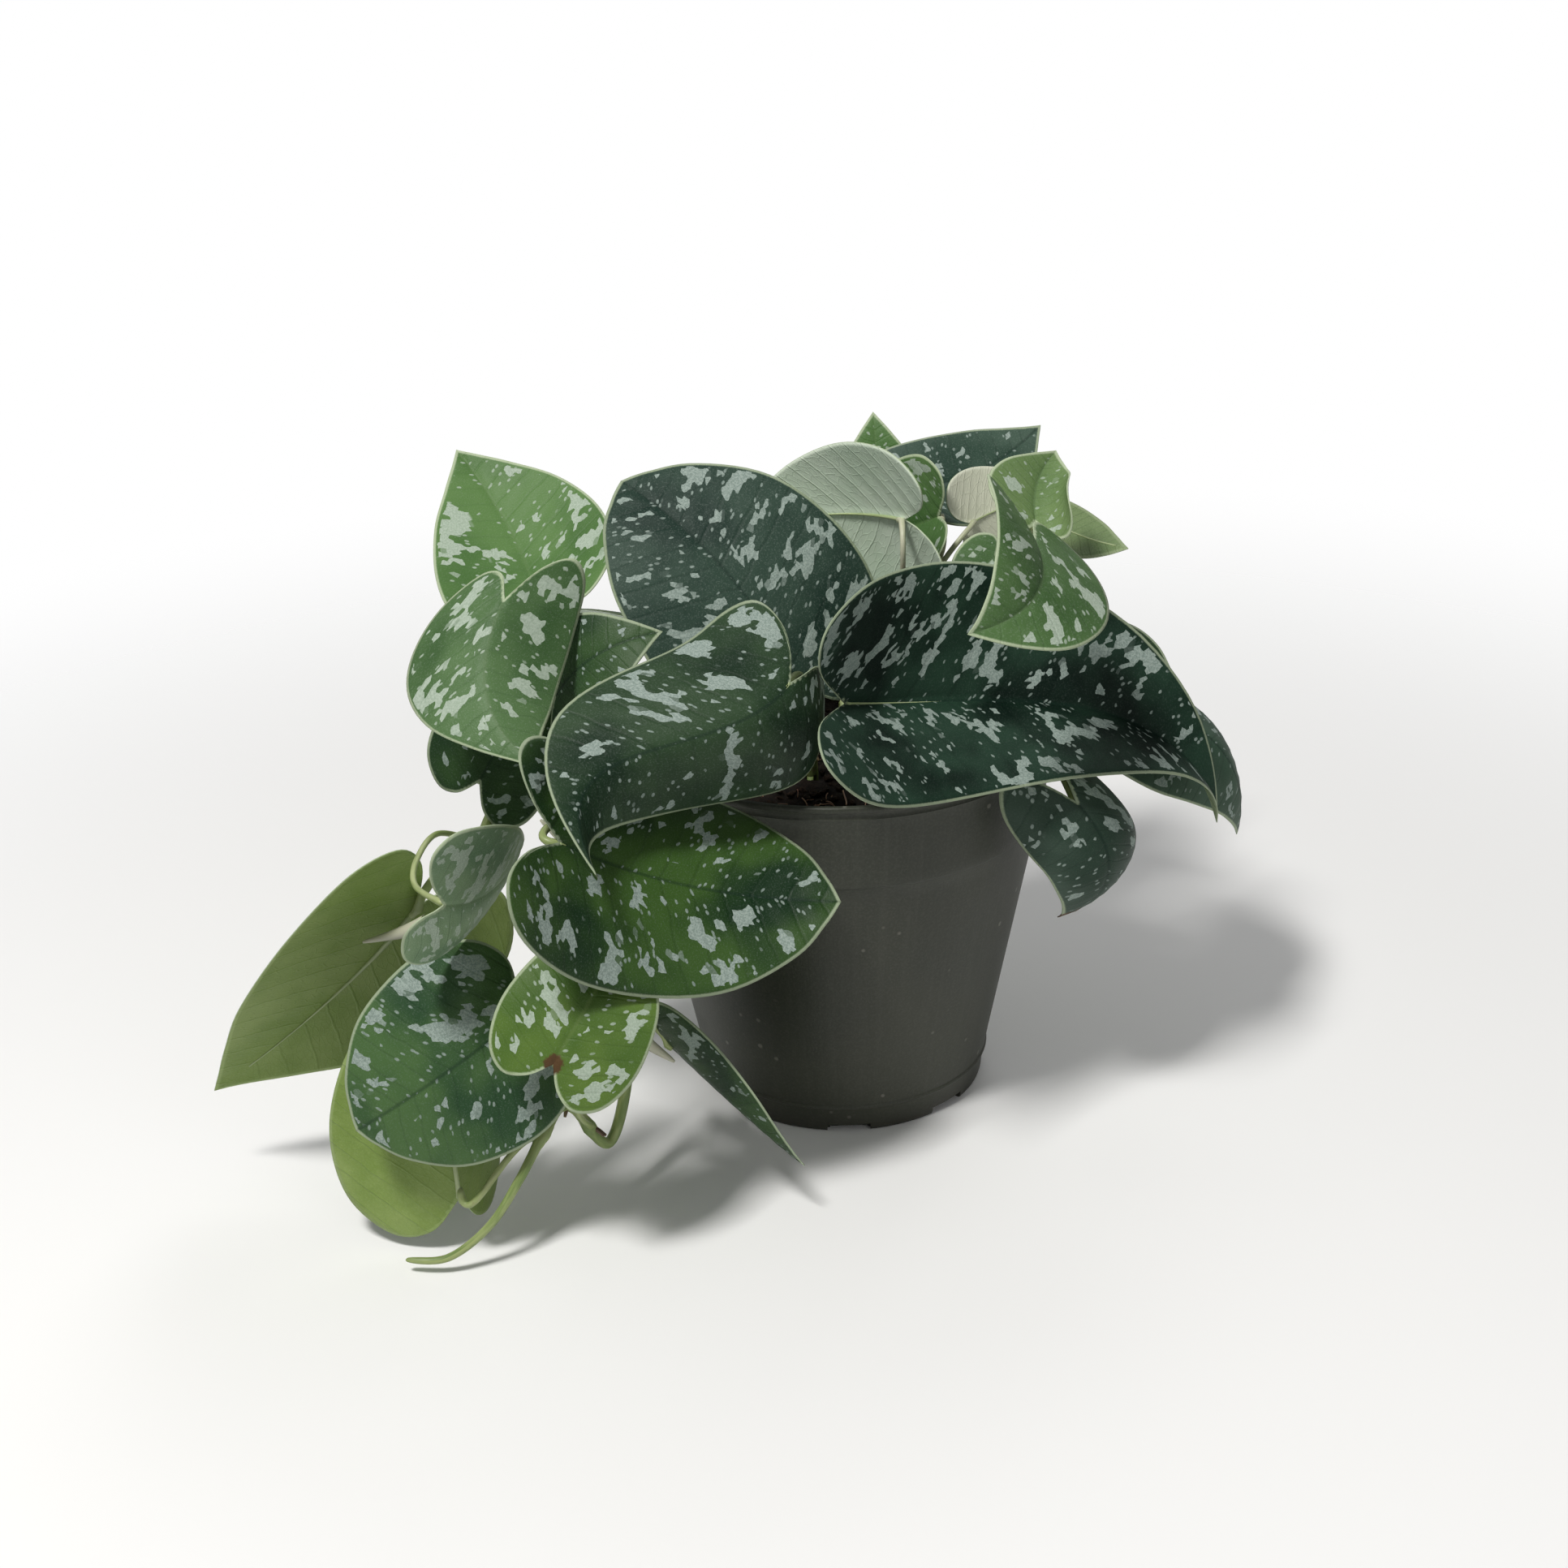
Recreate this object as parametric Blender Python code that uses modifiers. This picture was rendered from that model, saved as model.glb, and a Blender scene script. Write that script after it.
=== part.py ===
"""Potted satin pothos (Scindapsus pictus) in a plastic nursery pot.

Everything is stated in millimetres and turned into metres by MM.
The origin is the centre of the pot's flat underside, +Z is up,
and -Y is the side the plant has grown towards.
Each leaf blade, each vine with its petioles, the soil and the pot is one solid.
"""
import math

import bmesh
import bpy
from mathutils import Vector

MM = 0.001

# pot, outside
POT_STEPS = 40
RIM_R = 60.0
RIM_TOP = 107.8
BAND_Z = 83.0
BAND_R = 56.4
BAND_STEP = 0.8
LIP = 1.9
FOOT_Z = 8.4
FOOT_R = 41.3
BASE_R = 40.0
WALL = 1.2
FLOOR = 1.6
SLOT_COUNT = 8
SLOT_WIDTH = 12.0
SLOT_TOP = 2.3
SLOT_DEPTH = 8.0

# soil
SOIL_EDGE_Z = 94.5
SOIL_MOUND_Z = 97.5
FIT = 0.35
POCKET_HEIGHT = 40.0
POCKET_GAP = 0.6

# plant
STEM_R = 2.1
STEM_TIP_R = 1.3
PETIOLE_R = 1.15
PETIOLE_TIP_R = 1.0
PETIOLE_STEPS = 6
PETIOLE_RISE = 0.8
PETIOLE_EASE = 0.35
PLANT_Z = 80.0
BLADE_T = 0.8
BLADE_ROWS = 9
JOINT_DROP = 2.4
JOINT_BACK = 0.5
BLADE_ROUGHNESS = 0.5
ARCH = 4.0        # makes x (1 - x) reach 1 at mid length
HOOK = 2.1        # makes x - x^4 reach 1 at its highest
FLAT = 1e-5       # least curl, so that a flat blade can share the curled formula
LIGHT = Vector((0.0, -0.917, 0.400))    # the way blades turn their upper side

# half outline of a blade one long and one wide: along the midrib, then across
OUTLINE = (
    (0.00, 0.00), (-0.16, 0.12), (-0.20, 0.28), (-0.08, 0.44), (0.12, 0.50),
    (0.35, 0.48), (0.60, 0.37), (0.80, 0.20), (0.93, 0.07), (1.00, 0.00),
)
# the same for the rounder, short-pointed blades
ROUND = (
    (0.00, 0.00), (-0.13, 0.11), (-0.19, 0.27), (-0.10, 0.43), (0.12, 0.51),
    (0.38, 0.50), (0.66, 0.42), (0.87, 0.25), (0.96, 0.10), (1.00, 0.00),
)

PARTS_NAME = "Potted_Pothos"
GUIDES_NAME = "Cutters_and_Joins"


# ---------------------------------------------------------------- set-up

for old in list(bpy.data.objects):
    bpy.data.objects.remove(old, do_unlink=True)

parts = bpy.data.collections.new(PARTS_NAME)
guides = bpy.data.collections.new(GUIDES_NAME)
bpy.context.scene.collection.children.link(parts)
bpy.context.scene.collection.children.link(guides)


def material(name, colour, roughness):
    mat = bpy.data.materials.new(name)
    mat.use_nodes = True
    bsdf = mat.node_tree.nodes["Principled BSDF"]
    bsdf.inputs["Base Color"].default_value = (*colour, 1.0)
    bsdf.inputs["Roughness"].default_value = roughness
    bsdf.inputs["Metallic"].default_value = 0.0
    mat.diffuse_color = (*colour, 1.0)
    return mat


def add_part(name, mesh, colour, roughness):
    obj = bpy.data.objects.new(name, mesh)
    mesh.materials.clear()
    mesh.materials.append(material(name + "_mat", colour, roughness))
    parts.objects.link(obj)
    return obj


def add_guide(name, mesh):
    obj = bpy.data.objects.new(name, mesh)
    guides.objects.link(obj)
    obj.hide_render = True
    obj.display_type = "WIRE"
    return obj


def boolean(obj, operation, other):
    mod = obj.modifiers.new(other.name, "BOOLEAN")
    mod.operation = operation
    mod.solver = "EXACT"
    mod.object = other


def turned(name, profile, steps, colour, roughness):
    """A profile at +X, listed down its outer side, turned about Z."""
    mesh = bpy.data.meshes.new(name)
    bm = bmesh.new()
    verts = [bm.verts.new((r * MM, 0.0, z * MM)) for r, z in profile]
    for a, b in zip(verts, verts[1:]):
        bm.edges.new((a, b))
    bm.to_mesh(mesh)
    bm.free()
    obj = add_part(name, mesh, colour, roughness)
    screw = obj.modifiers.new("turn", "SCREW")
    screw.steps = steps
    screw.render_steps = steps
    screw.use_merge_vertices = True
    screw.merge_threshold = 0.00002
    screw.use_smooth_shade = True
    return obj


# ---------------------------------------------------------------- pot

def inner_r(z):
    """Inside radius of the pot wall at height z."""
    low = BASE_R - WALL
    high = BAND_R - BAND_STEP - WALL
    if z <= BAND_Z:
        return low + (high - low) * z / BAND_Z
    return high + (RIM_R - 1.3 - WALL - high) * (z - BAND_Z) / (RIM_TOP - BAND_Z)


pot_profile = [
    (0.0, FLOOR),
    (inner_r(FLOOR), FLOOR),
    (inner_r(BAND_Z), BAND_Z),
    (inner_r(RIM_TOP - 1.0), RIM_TOP - 1.0),
    (RIM_R - LIP, RIM_TOP),
    (RIM_R - 0.5, RIM_TOP),
    (RIM_R, RIM_TOP - 0.5),
    (RIM_R, RIM_TOP - 1.6),
    (RIM_R - 0.8, RIM_TOP - 2.2),
    (BAND_R, BAND_Z + 0.4),
    (BAND_R - BAND_STEP, BAND_Z - 0.5),
    (FOOT_R - 0.1, FOOT_Z + 0.8),
    (FOOT_R + 0.3, FOOT_Z),
    (FOOT_R - 0.5, FOOT_Z - 0.8),
    (BASE_R, 0.5),
    (BASE_R - 0.5, 0.0),
    (0.0, 0.0),
]
pot = turned("pot", pot_profile, POT_STEPS, (0.055, 0.062, 0.05), 0.55)
for i in range(SLOT_COUNT):
    angle = math.radians(-90.0 + 360.0 / SLOT_COUNT * i)
    slot_mesh = bpy.data.meshes.new("slot")
    bm = bmesh.new()
    bmesh.ops.create_cube(bm, size=1.0)
    bmesh.ops.scale(bm, vec=(SLOT_DEPTH * MM, SLOT_WIDTH * MM, 2 * SLOT_TOP * MM), verts=bm.verts)
    bm.to_mesh(slot_mesh)
    bm.free()
    slot = add_guide("slot_%d" % i, slot_mesh)
    reach = (BASE_R + 0.6) * MM
    slot.location = (reach * math.cos(angle), reach * math.sin(angle), 0.0)
    slot.rotation_euler = (0.0, 0.0, angle)
    boolean(pot, "DIFFERENCE", slot)


# ---------------------------------------------------------------- soil

soil_profile = [
    (0.0, SOIL_MOUND_Z),
    (24.0, SOIL_MOUND_Z - 0.6),
    (44.0, SOIL_EDGE_Z + 1.0),
    (inner_r(SOIL_EDGE_Z) - FIT, SOIL_EDGE_Z),
    (inner_r(BAND_Z) - FIT, BAND_Z),
    (inner_r(FLOOR) - FIT - 0.2, FLOOR + FIT),
    (0.0, FLOOR + FIT),
]
soil = turned("soil", soil_profile, POT_STEPS, (0.018, 0.011, 0.008), 0.95)


# ---------------------------------------------------------------- tubes

def catmull(points, per):
    """Points along a smooth line through the given ones, per steps each."""
    pts = [Vector(p) for p in points]
    out = []
    for i in range(len(pts) - 1):
        p0 = pts[max(i - 1, 0)]
        p1 = pts[i]
        p2 = pts[i + 1]
        p3 = pts[min(i + 2, len(pts) - 1)]
        for s in range(per):
            t = s / per
            a = 2 * p1 + (p2 - p0) * t
            b = (2 * p0 - 5 * p1 + 4 * p2 - p3) * t * t
            c = (3 * p1 - 3 * p2 + p3 - p0) * t * t * t
            out.append((a + b + c) * 0.5)
    out.append(pts[-1])
    return out


def tube_mesh(name, route, r0, r1):
    """A closed round tube along a route, tapering from r0 to r1."""
    data = bpy.data.curves.new(name, "CURVE")
    data.dimensions = "3D"
    data.bevel_depth = r0 * MM
    data.bevel_resolution = 1
    data.use_fill_caps = True
    spline = data.splines.new("POLY")
    spline.points.add(len(route) - 1)
    last = len(route) - 1
    for i, p in enumerate(route):
        spline.points[i].co = (p.x * MM, p.y * MM, p.z * MM, 1.0)
        spline.points[i].radius = (r0 + (r1 - r0) * i / last) / r0
    curve = bpy.data.objects.new(name + "_line", data)
    guides.objects.link(curve)
    depsgraph = bpy.context.evaluated_depsgraph_get()
    mesh = bpy.data.meshes.new_from_object(curve.evaluated_get(depsgraph))
    bm = bmesh.new()
    bm.from_mesh(mesh)
    bmesh.ops.remove_doubles(bm, verts=bm.verts, dist=0.00001)
    bmesh.ops.recalc_face_normals(bm, faces=bm.faces)
    bm.to_mesh(mesh)
    bm.free()
    mesh.transform(curve.matrix_world)
    mesh.shade_smooth()
    bpy.data.objects.remove(curve, do_unlink=True)
    return mesh


# ---------------------------------------------------------------- blades

def outline_at(outline, k):
    """Point of a half outline, k running from sinus to tip."""
    f = min(max(k, 0.0), 1.0) * (len(outline) - 1)
    i = min(int(f), len(outline) - 2)
    t = f - i
    p0 = Vector(outline[max(i - 1, 0)])
    p1 = Vector(outline[i])
    p2 = Vector(outline[i + 1])
    p3 = Vector(outline[min(i + 2, len(outline) - 1)])
    a = 2 * p1 + (p2 - p0) * t
    b = (2 * p0 - 5 * p1 + 4 * p2 - p3) * t * t
    c = (3 * p1 - 3 * p2 + p3 - p0) * t * t * t
    return (a + b + c) * 0.5


def blade_axes(base, tip, turn):
    """Length, forward, upper-side and sideways directions of a blade."""
    along = tip - base
    length = along.length
    along = along / length
    up = (LIGHT - along * LIGHT.dot(along)).normalized()
    side = along.cross(up)
    angle = math.radians(turn)
    up = up * math.cos(angle) + side * math.sin(angle)
    return length, along, up, along.cross(up)


def blade_point(spec, k, j):
    """Point of the blade: k from sinus (0) to tip (1), j across from -1 to 1."""
    length, along, up, side = blade_axes(spec["base"], spec["tip"], spec["turn"])
    edge = outline_at(spec["outline"], k)
    reach = abs(j)
    sign = 1.0 if j > 0 else -1.0
    x = k ** 1.5 * (1.0 - reach) + edge.x * reach
    y = edge.y * spec["width"] * reach
    bend = (spec["curl"] + sign * spec["dcurl"]) / (spec["width"] * 0.5)
    if abs(bend) < FLAT:
        bend = FLAT
    start = spec["fold"] + sign * spec["dfold"]
    end = start + bend * y
    across = (math.sin(end) - math.sin(start)) / bend
    lift = (math.cos(start) - math.cos(end)) / bend
    xc = max(x, 0.0)
    arch = ARCH * x * (1.0 - x)
    hook = HOOK * (x - xc ** 4)
    slope = spec["bow"] * ARCH * (1.0 - 2.0 * x) + spec["hook"] * HOOK * (1.0 - 4.0 * xc ** 3)
    pitch = math.atan(slope)
    normal = up * math.cos(pitch) - along * math.sin(pitch)
    spine = spec["base"] + along * (x * length)
    spine = spine + up * (length * (spec["bow"] * arch + spec["hook"] * hook))
    spine = spine + side * (length * (spec["sweep"] * arch + spec["veer"] * hook))
    return spine + side * (sign * across) + normal * lift


def blade_mesh(name, spec):
    """A grid bent into the heart-shaped blade, open, before it is thickened."""
    mesh = bpy.data.meshes.new(name)
    bm = bmesh.new()
    bmesh.ops.create_grid(bm, x_segments=2 * spec["cells"], y_segments=BLADE_ROWS, size=1.0)
    for v in bm.verts:
        v.co = blade_point(spec, 0.5 * (v.co.y + 1.0), v.co.x) * MM
    bmesh.ops.remove_doubles(bm, verts=bm.verts, dist=0.00002)
    bm.to_mesh(mesh)
    bm.free()
    mesh.shade_smooth()
    return mesh


petioles = {}


def leaf(name, vine, node, base, tip, width, turn=0.0, bow=0.1, fold=0.1, curl=-0.1,
         dfold=0.0, dcurl=0.0, sweep=0.0, hook=0.0, veer=0.0, cells=2, via=(),
         drop=JOINT_DROP, outline=OUTLINE, colour=(0.03, 0.09, 0.04)):
    """One blade, and the petiole that carries it from its node on a vine."""
    spec = {
        "base": Vector(base), "tip": Vector(tip), "width": width, "turn": turn,
        "bow": bow, "fold": fold, "curl": curl, "dfold": dfold, "dcurl": dcurl,
        "sweep": sweep, "hook": hook, "veer": veer, "cells": cells,
        "outline": outline,
    }
    obj = add_part(name, blade_mesh(name, spec), colour, BLADE_ROUGHNESS)
    shell = obj.modifiers.new("thickness", "SOLIDIFY")
    shell.thickness = BLADE_T * MM
    shell.offset = 0.0
    shell.use_even_offset = False
    _, along, up, side = blade_axes(spec["base"], spec["tip"], turn)
    pitch = math.atan(bow * ARCH + hook * HOOK)
    normal = up * math.cos(pitch) - along * math.sin(pitch)
    forward = along * math.cos(pitch) + up * math.sin(pitch)
    normal = normal * math.cos(dfold) - side * math.sin(dfold)
    end = spec["base"] - normal * drop - forward * JOINT_BACK
    arrive = (forward * 0.8 + normal * 0.5).normalized()
    petioles.setdefault(vine, []).append((Vector(node), end, arrive, via))


def petiole_route(start, end, arrive, via):
    """A rising bend from the node to the underside of the blade."""
    if via:
        return catmull([start, *via, end], 3)
    span = (end - start).length
    leave = ((end - start).normalized() + Vector((0.0, 0.0, PETIOLE_RISE))).normalized()
    p1 = start + leave * span * PETIOLE_EASE
    p2 = end - arrive * span * PETIOLE_EASE
    route = []
    for i in range(PETIOLE_STEPS + 1):
        t = i / PETIOLE_STEPS
        u = 1.0 - t
        route.append(start * u ** 3 + p1 * 3 * u * u * t + p2 * 3 * u * t * t + end * t ** 3)
    return route


def vine(name, points, colour, tip_r=STEM_TIP_R):
    """A stem planted in the soil, with its petioles joined on."""
    x, y = points[0][0], points[0][1]
    route = [Vector((x, y, PLANT_Z))] + catmull(points, 2)
    obj = add_part(name, tube_mesh(name, route, STEM_R, tip_r), colour, 0.5)
    for i, (start, end, arrive, via) in enumerate(petioles.get(name, [])):
        line = petiole_route(start, end, arrive, via)
        arm_mesh = tube_mesh("petiole", line, PETIOLE_R, PETIOLE_TIP_R)
        arm = add_guide("%s_petiole_%d" % (name, i), arm_mesh)
        boolean(obj, "UNION", arm)
    pocket_mesh = bpy.data.meshes.new("pocket")
    bm = bmesh.new()
    bmesh.ops.create_cone(bm, cap_ends=True, segments=8, radius1=STEM_R + POCKET_GAP,
                          radius2=STEM_R + POCKET_GAP, depth=1.0)
    bmesh.ops.scale(bm, vec=(MM, MM, POCKET_HEIGHT * MM), verts=bm.verts)
    bm.to_mesh(pocket_mesh)
    bm.free()
    pocket = add_guide(name + "_pocket", pocket_mesh)
    pocket.location = (x * MM, y * MM, (PLANT_Z - FIT + 0.5 * POCKET_HEIGHT) * MM)
    boolean(soil, "DIFFERENCE", pocket)
    return obj


# ---------------------------------------------------------------- leaves

DARK = (0.012, 0.045, 0.025)
MID = (0.030, 0.100, 0.035)
LIGHT_GREEN = (0.095, 0.200, 0.060)
PALE = (0.200, 0.300, 0.150)

# front, over the rim
leaf("leaf_front_left_arching", "vine_centre", (-8, -17, 106), (-13, -64, 144), (-59, -111, 115),
     width=56, turn=-5, bow=0.15, fold=-0.30, curl=-0.60, dfold=0.10, dcurl=0.10, sweep=-0.30,
     hook=-0.25, veer=0.50, cells=3, drop=3.0, colour=DARK)
leaf("leaf_front_right_arching", "vine_centre", (-6, -24, 116), (1, -54, 134), (103, -17, 81),
     width=76, turn=-33, bow=-0.25, fold=0.50, curl=-0.25, dcurl=-0.05, sweep=-0.10, hook=0.30,
     veer=-0.05, cells=3, via=((7, -36, 119), (6, -46, 127)), colour=DARK)
leaf("leaf_centre_large", "vine_centre", (-7, -19, 110), (-11, -15, 125), (-57, 12, 174),
     width=64, turn=11, bow=0.10, fold=0.05, curl=-0.15, sweep=0.05, cells=3,
     outline=ROUND, colour=DARK)
leaf("leaf_front_rim_hanging", "vine_left_trailing", (-60, -60, 107), (-69, -93, 116), (-2, -75, 89),
     width=60, turn=-27, bow=-0.13, fold=0.05, curl=-0.45, cells=3, outline=ROUND, colour=MID)

# upper left
leaf("leaf_upper_left", "vine_left_upper", (-62, -9, 119), (-80, -6, 149), (-103, 30, 179),
     width=50, turn=13, bow=-0.05, fold=0.15, curl=0.10, sweep=0.05, colour=LIGHT_GREEN)
leaf("leaf_left_heart", "vine_left_upper", (-60, -9, 119), (-84, -42, 160), (-75, -73, 127),
     width=46, turn=-9, bow=-0.01, fold=-0.30, curl=-0.25, sweep=0.15, veer=0.05,
     via=((-74, -18, 142), (-83, -32, 154)), colour=MID)
leaf("leaf_left_inner", "vine_left_upper", (-52, -7, 118), (-74, -35, 130), (-45, -39, 149),
     width=30, turn=-19, bow=0.15, fold=0.10, curl=-0.20, sweep=-0.05, colour=MID)
leaf("leaf_left_under", "vine_left_upper", (-88, -15, 103), (-96, -30, 105), (-76, -16, 129),
     width=35, turn=12, bow=0.11, fold=0.05, curl=-0.10, dfold=0.05, sweep=-0.05, colour=DARK)
leaf("leaf_left_small_heart", "vine_left_upper", (-96, -40, 92), (-96, -105, 106), (-81, -65, 104),
     width=45, turn=63, bow=0.06, fold=0.00, curl=-0.30, dfold=-0.10, dcurl=-0.25, sweep=0.10,
     via=((-103, -62, 105), (-106, -80, 106), (-105, -90, 104)), colour=MID)
leaf("leaf_far_left_reversed", "vine_left_upper", (-97, -50, 94), (-110, -61, 85), (-171, -53, 27),
     width=64, turn=133, bow=0.01, fold=-0.10, curl=-0.35, sweep=0.05, cells=3,
     via=((-101, -62, 97), (-107, -66, 91)), colour=LIGHT_GREEN)

# lower left
leaf("leaf_low_left_reversed", "vine_left_trailing", (-79, -90, 33), (-101, -94, 18), (-108, -80, 82),
     width=69, turn=200, bow=-0.04, fold=0.70, curl=0.25, dfold=-0.15, cells=3, colour=PALE)
leaf("leaf_low_left_arching", "vine_left_trailing", (-73, -82, 37), (-85, -90, 65), (-124, -100, 42),
     width=54, turn=-8, bow=0.10, fold=-0.05, curl=-0.20, cells=3, outline=ROUND, colour=MID)
leaf("leaf_low_left_pale", "vine_left_trailing", (-68, -77, 27), (-73, -108, 64), (-55, -84, 86),
     width=37, turn=2, bow=0.12, fold=0.00, curl=-0.20, cells=3, outline=ROUND,
     via=((-70, -88, 38),), colour=LIGHT_GREEN)
leaf("leaf_floor_narrow", "vine_left_trailing", (-58, -65, 50), (-48, -61, 42), (-13, -83, 17),
     width=41, turn=75, bow=0.01, fold=-0.15, curl=-0.20, drop=-2.4, colour=DARK)

# upper right
leaf("leaf_right_heart", "vine_right", (53, -11, 161), (48, -45, 173), (29, -78, 160),
     width=40, turn=-40, bow=0.20, fold=0.25, curl=-0.20, dfold=-0.35, dcurl=-0.15, sweep=-0.10,
     cells=3, colour=MID)
leaf("leaf_right_young_rolled", "vine_right", (50, -15, 165), (51, -23, 170), (58, -6, 184),
     width=28, turn=9, bow=-0.04, fold=0.20, curl=0.90, dfold=-0.10, sweep=-0.10,
     dcurl=1.20, cells=3, colour=LIGHT_GREEN)
leaf("leaf_right_inner", "vine_right", (30, 2, 118), (44, 6, 152), (31, -2, 138),
     width=18, turn=19, bow=0.12, fold=0.15, curl=-0.05, colour=MID)
leaf("leaf_centre_reversed", "vine_back_right", (18, 14, 114), (19, -4, 166), (-31, 20, 157),
     width=46, turn=142, bow=0.18, fold=0.00, curl=-0.10, sweep=0.05, cells=3, colour=PALE)
leaf("leaf_centre_narrow", "vine_back_right", (22, 13, 132), (29, 17, 160), (2, 39, 145),
     width=38, turn=12, bow=-0.07, fold=0.30, curl=0.10, via=((30, 17, 150),), colour=LIGHT_GREEN)
leaf("leaf_right_reversed", "vine_back_right", (27, 14, 142), (38, 22, 156), (63, 35, 162),
     width=28, turn=191, bow=0.13, fold=0.10, curl=-0.10, colour=PALE)
leaf("leaf_right_pointed", "vine_back_right", (24, 13, 136), (58, 13, 159), (79, 2, 154),
     width=19, turn=147, bow=0.07, fold=0.05, curl=-0.25, drop=-2.4,
     via=((40, 14, 144), (50, 17, 152)), colour=LIGHT_GREEN)
leaf("leaf_back_right_dark", "vine_back", (4, 48, 117), (27, 46, 160), (62, 64, 172),
     width=38, turn=-31, bow=-0.07, fold=0.05, curl=-0.15, sweep=0.05, colour=DARK)
leaf("leaf_back_upright", "vine_back", (0, 38, 118), (16, 70, 143), (14, 77, 174),
     width=25, turn=-4, bow=0.10, fold=0.10, curl=-0.10, colour=LIGHT_GREEN)

# right
leaf("leaf_right_shoulder", "vine_right_low", (48, 6, 112), (72, 12, 123), (94, 2, 113),
     width=21, turn=-31, bow=0.10, fold=0.10, curl=-0.10, colour=DARK)
leaf("leaf_right_drooping", "vine_right_low", (57, 5, 116), (84, 8, 108), (114, 9, 65),
     width=46, turn=-51, bow=0.23, fold=-0.25, curl=-0.45, dfold=-0.05, cells=3, colour=DARK)
leaf("leaf_rim_right_hanging", "vine_right_low", (45, 6, 111), (60, -47, 102), (57, -38, 64),
     width=40, turn=-38, bow=0.25, fold=-0.05, curl=-0.90, dfold=-0.05, sweep=-0.15,
     via=((52, -24, 113),), cells=3, colour=DARK)

# back
leaf("leaf_back_left", "vine_back", (-6, 26, 112), (-46, 30, 126), (-90, 48, 110),
     width=48, turn=95, bow=0.12, colour=MID)
leaf("leaf_back_centre", "vine_back", (-3, 33, 116), (-16, 52, 136), (-20, 96, 120),
     width=44, turn=5, bow=0.15, colour=DARK)
leaf("leaf_back_right", "vine_back", (1, 40, 118), (38, 44, 128), (84, 62, 112),
     width=46, turn=-95, bow=0.14, colour=MID)
leaf("leaf_back_rim_hanging", "vine_back", (10, 60, 114), (12, 74, 108), (-6, 84, 48),
     width=50, turn=175, bow=0.10, colour=DARK)


# ---------------------------------------------------------------- vines

STEM_GREEN = (0.150, 0.190, 0.090)

vine("vine_centre", [(-8, -14, 98), (-8, -17, 106), (-7, -21, 113), (-5, -27, 119)], STEM_GREEN)
vine("vine_left_trailing",
     [(-28, -18, 98), (-35, -26, 106), (-47, -43, 112), (-60, -60, 107), (-59, -66, 78),
      (-58, -64, 42), (-64, -72, 19), (-73, -82, 37), (-79, -90, 33), (-85, -96, 24),
      (-93, -100, 13), (-104, -102, 5), (-115, -101, 4)], STEM_GREEN, 0.9)
vine("vine_left_upper",
     [(-32, 2, 98), (-42, -4, 114), (-58, -8, 119), (-80, -12, 114), (-88, -15, 103),
      (-94, -26, 94), (-96, -40, 92), (-97, -50, 94)], STEM_GREEN)
vine("vine_right",
     [(20, -2, 98), (30, 2, 118), (46, 2, 136), (54, -5, 152), (50, -15, 165)], STEM_GREEN)
vine("vine_back_right",
     [(16, 14, 98), (18, 14, 118), (22, 13, 132), (27, 14, 142)], STEM_GREEN)
vine("vine_right_low",
     [(36, 6, 98), (43, 6, 109), (53, 5, 115), (62, 6, 116)], STEM_GREEN)
vine("vine_back",
     [(-6, 22, 98), (-6, 27, 112), (0, 38, 118), (10, 60, 114), (12, 68, 110)], STEM_GREEN)
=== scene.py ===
"""Looks of the potted satin pothos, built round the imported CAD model.

Plant sizes in this file are millimetres, turned into metres by MM.
"""
import math
import random

import bmesh
import bpy
import numpy as np
from mathutils import Matrix, Vector


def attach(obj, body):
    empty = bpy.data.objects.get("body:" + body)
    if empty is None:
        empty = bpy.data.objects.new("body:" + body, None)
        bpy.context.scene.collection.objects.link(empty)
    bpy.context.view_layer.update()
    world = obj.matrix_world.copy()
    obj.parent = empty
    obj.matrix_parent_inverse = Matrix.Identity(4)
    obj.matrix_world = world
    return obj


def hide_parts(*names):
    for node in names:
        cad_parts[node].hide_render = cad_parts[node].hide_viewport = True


MM = 0.001

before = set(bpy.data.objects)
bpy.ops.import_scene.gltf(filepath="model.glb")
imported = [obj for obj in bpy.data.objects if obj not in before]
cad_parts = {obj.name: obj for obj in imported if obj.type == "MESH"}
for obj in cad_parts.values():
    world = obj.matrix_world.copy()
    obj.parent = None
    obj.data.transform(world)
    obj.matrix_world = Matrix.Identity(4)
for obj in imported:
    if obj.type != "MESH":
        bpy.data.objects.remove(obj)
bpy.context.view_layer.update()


# ---------------------------------------- camera and light

CAM_PLACE = Vector((-0.0154, -0.600, 0.351))
CAM_PITCH = 0.412
CAM_ROLL = -0.029
CAM_LENS = 53.85
CAM_SENSOR = 36.0


def make_camera():
    data = bpy.data.cameras.new("camera")
    data.lens = CAM_LENS
    data.sensor_width = CAM_SENSOR
    data.clip_start = 0.01
    data.clip_end = 50.0
    cam = bpy.data.objects.new("camera", data)
    bpy.context.scene.collection.objects.link(cam)
    forward = Vector((0.0, math.cos(CAM_PITCH), -math.sin(CAM_PITCH)))
    level = Vector((1.0, 0.0, 0.0))
    above = level.cross(forward)
    right = level * math.cos(CAM_ROLL) + above * math.sin(CAM_ROLL)
    up = above * math.cos(CAM_ROLL) - level * math.sin(CAM_ROLL)
    turn = Matrix((right, up, -forward)).transposed().to_4x4()
    cam.matrix_world = Matrix.Translation(CAM_PLACE) @ turn
    bpy.context.scene.camera = cam


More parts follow.
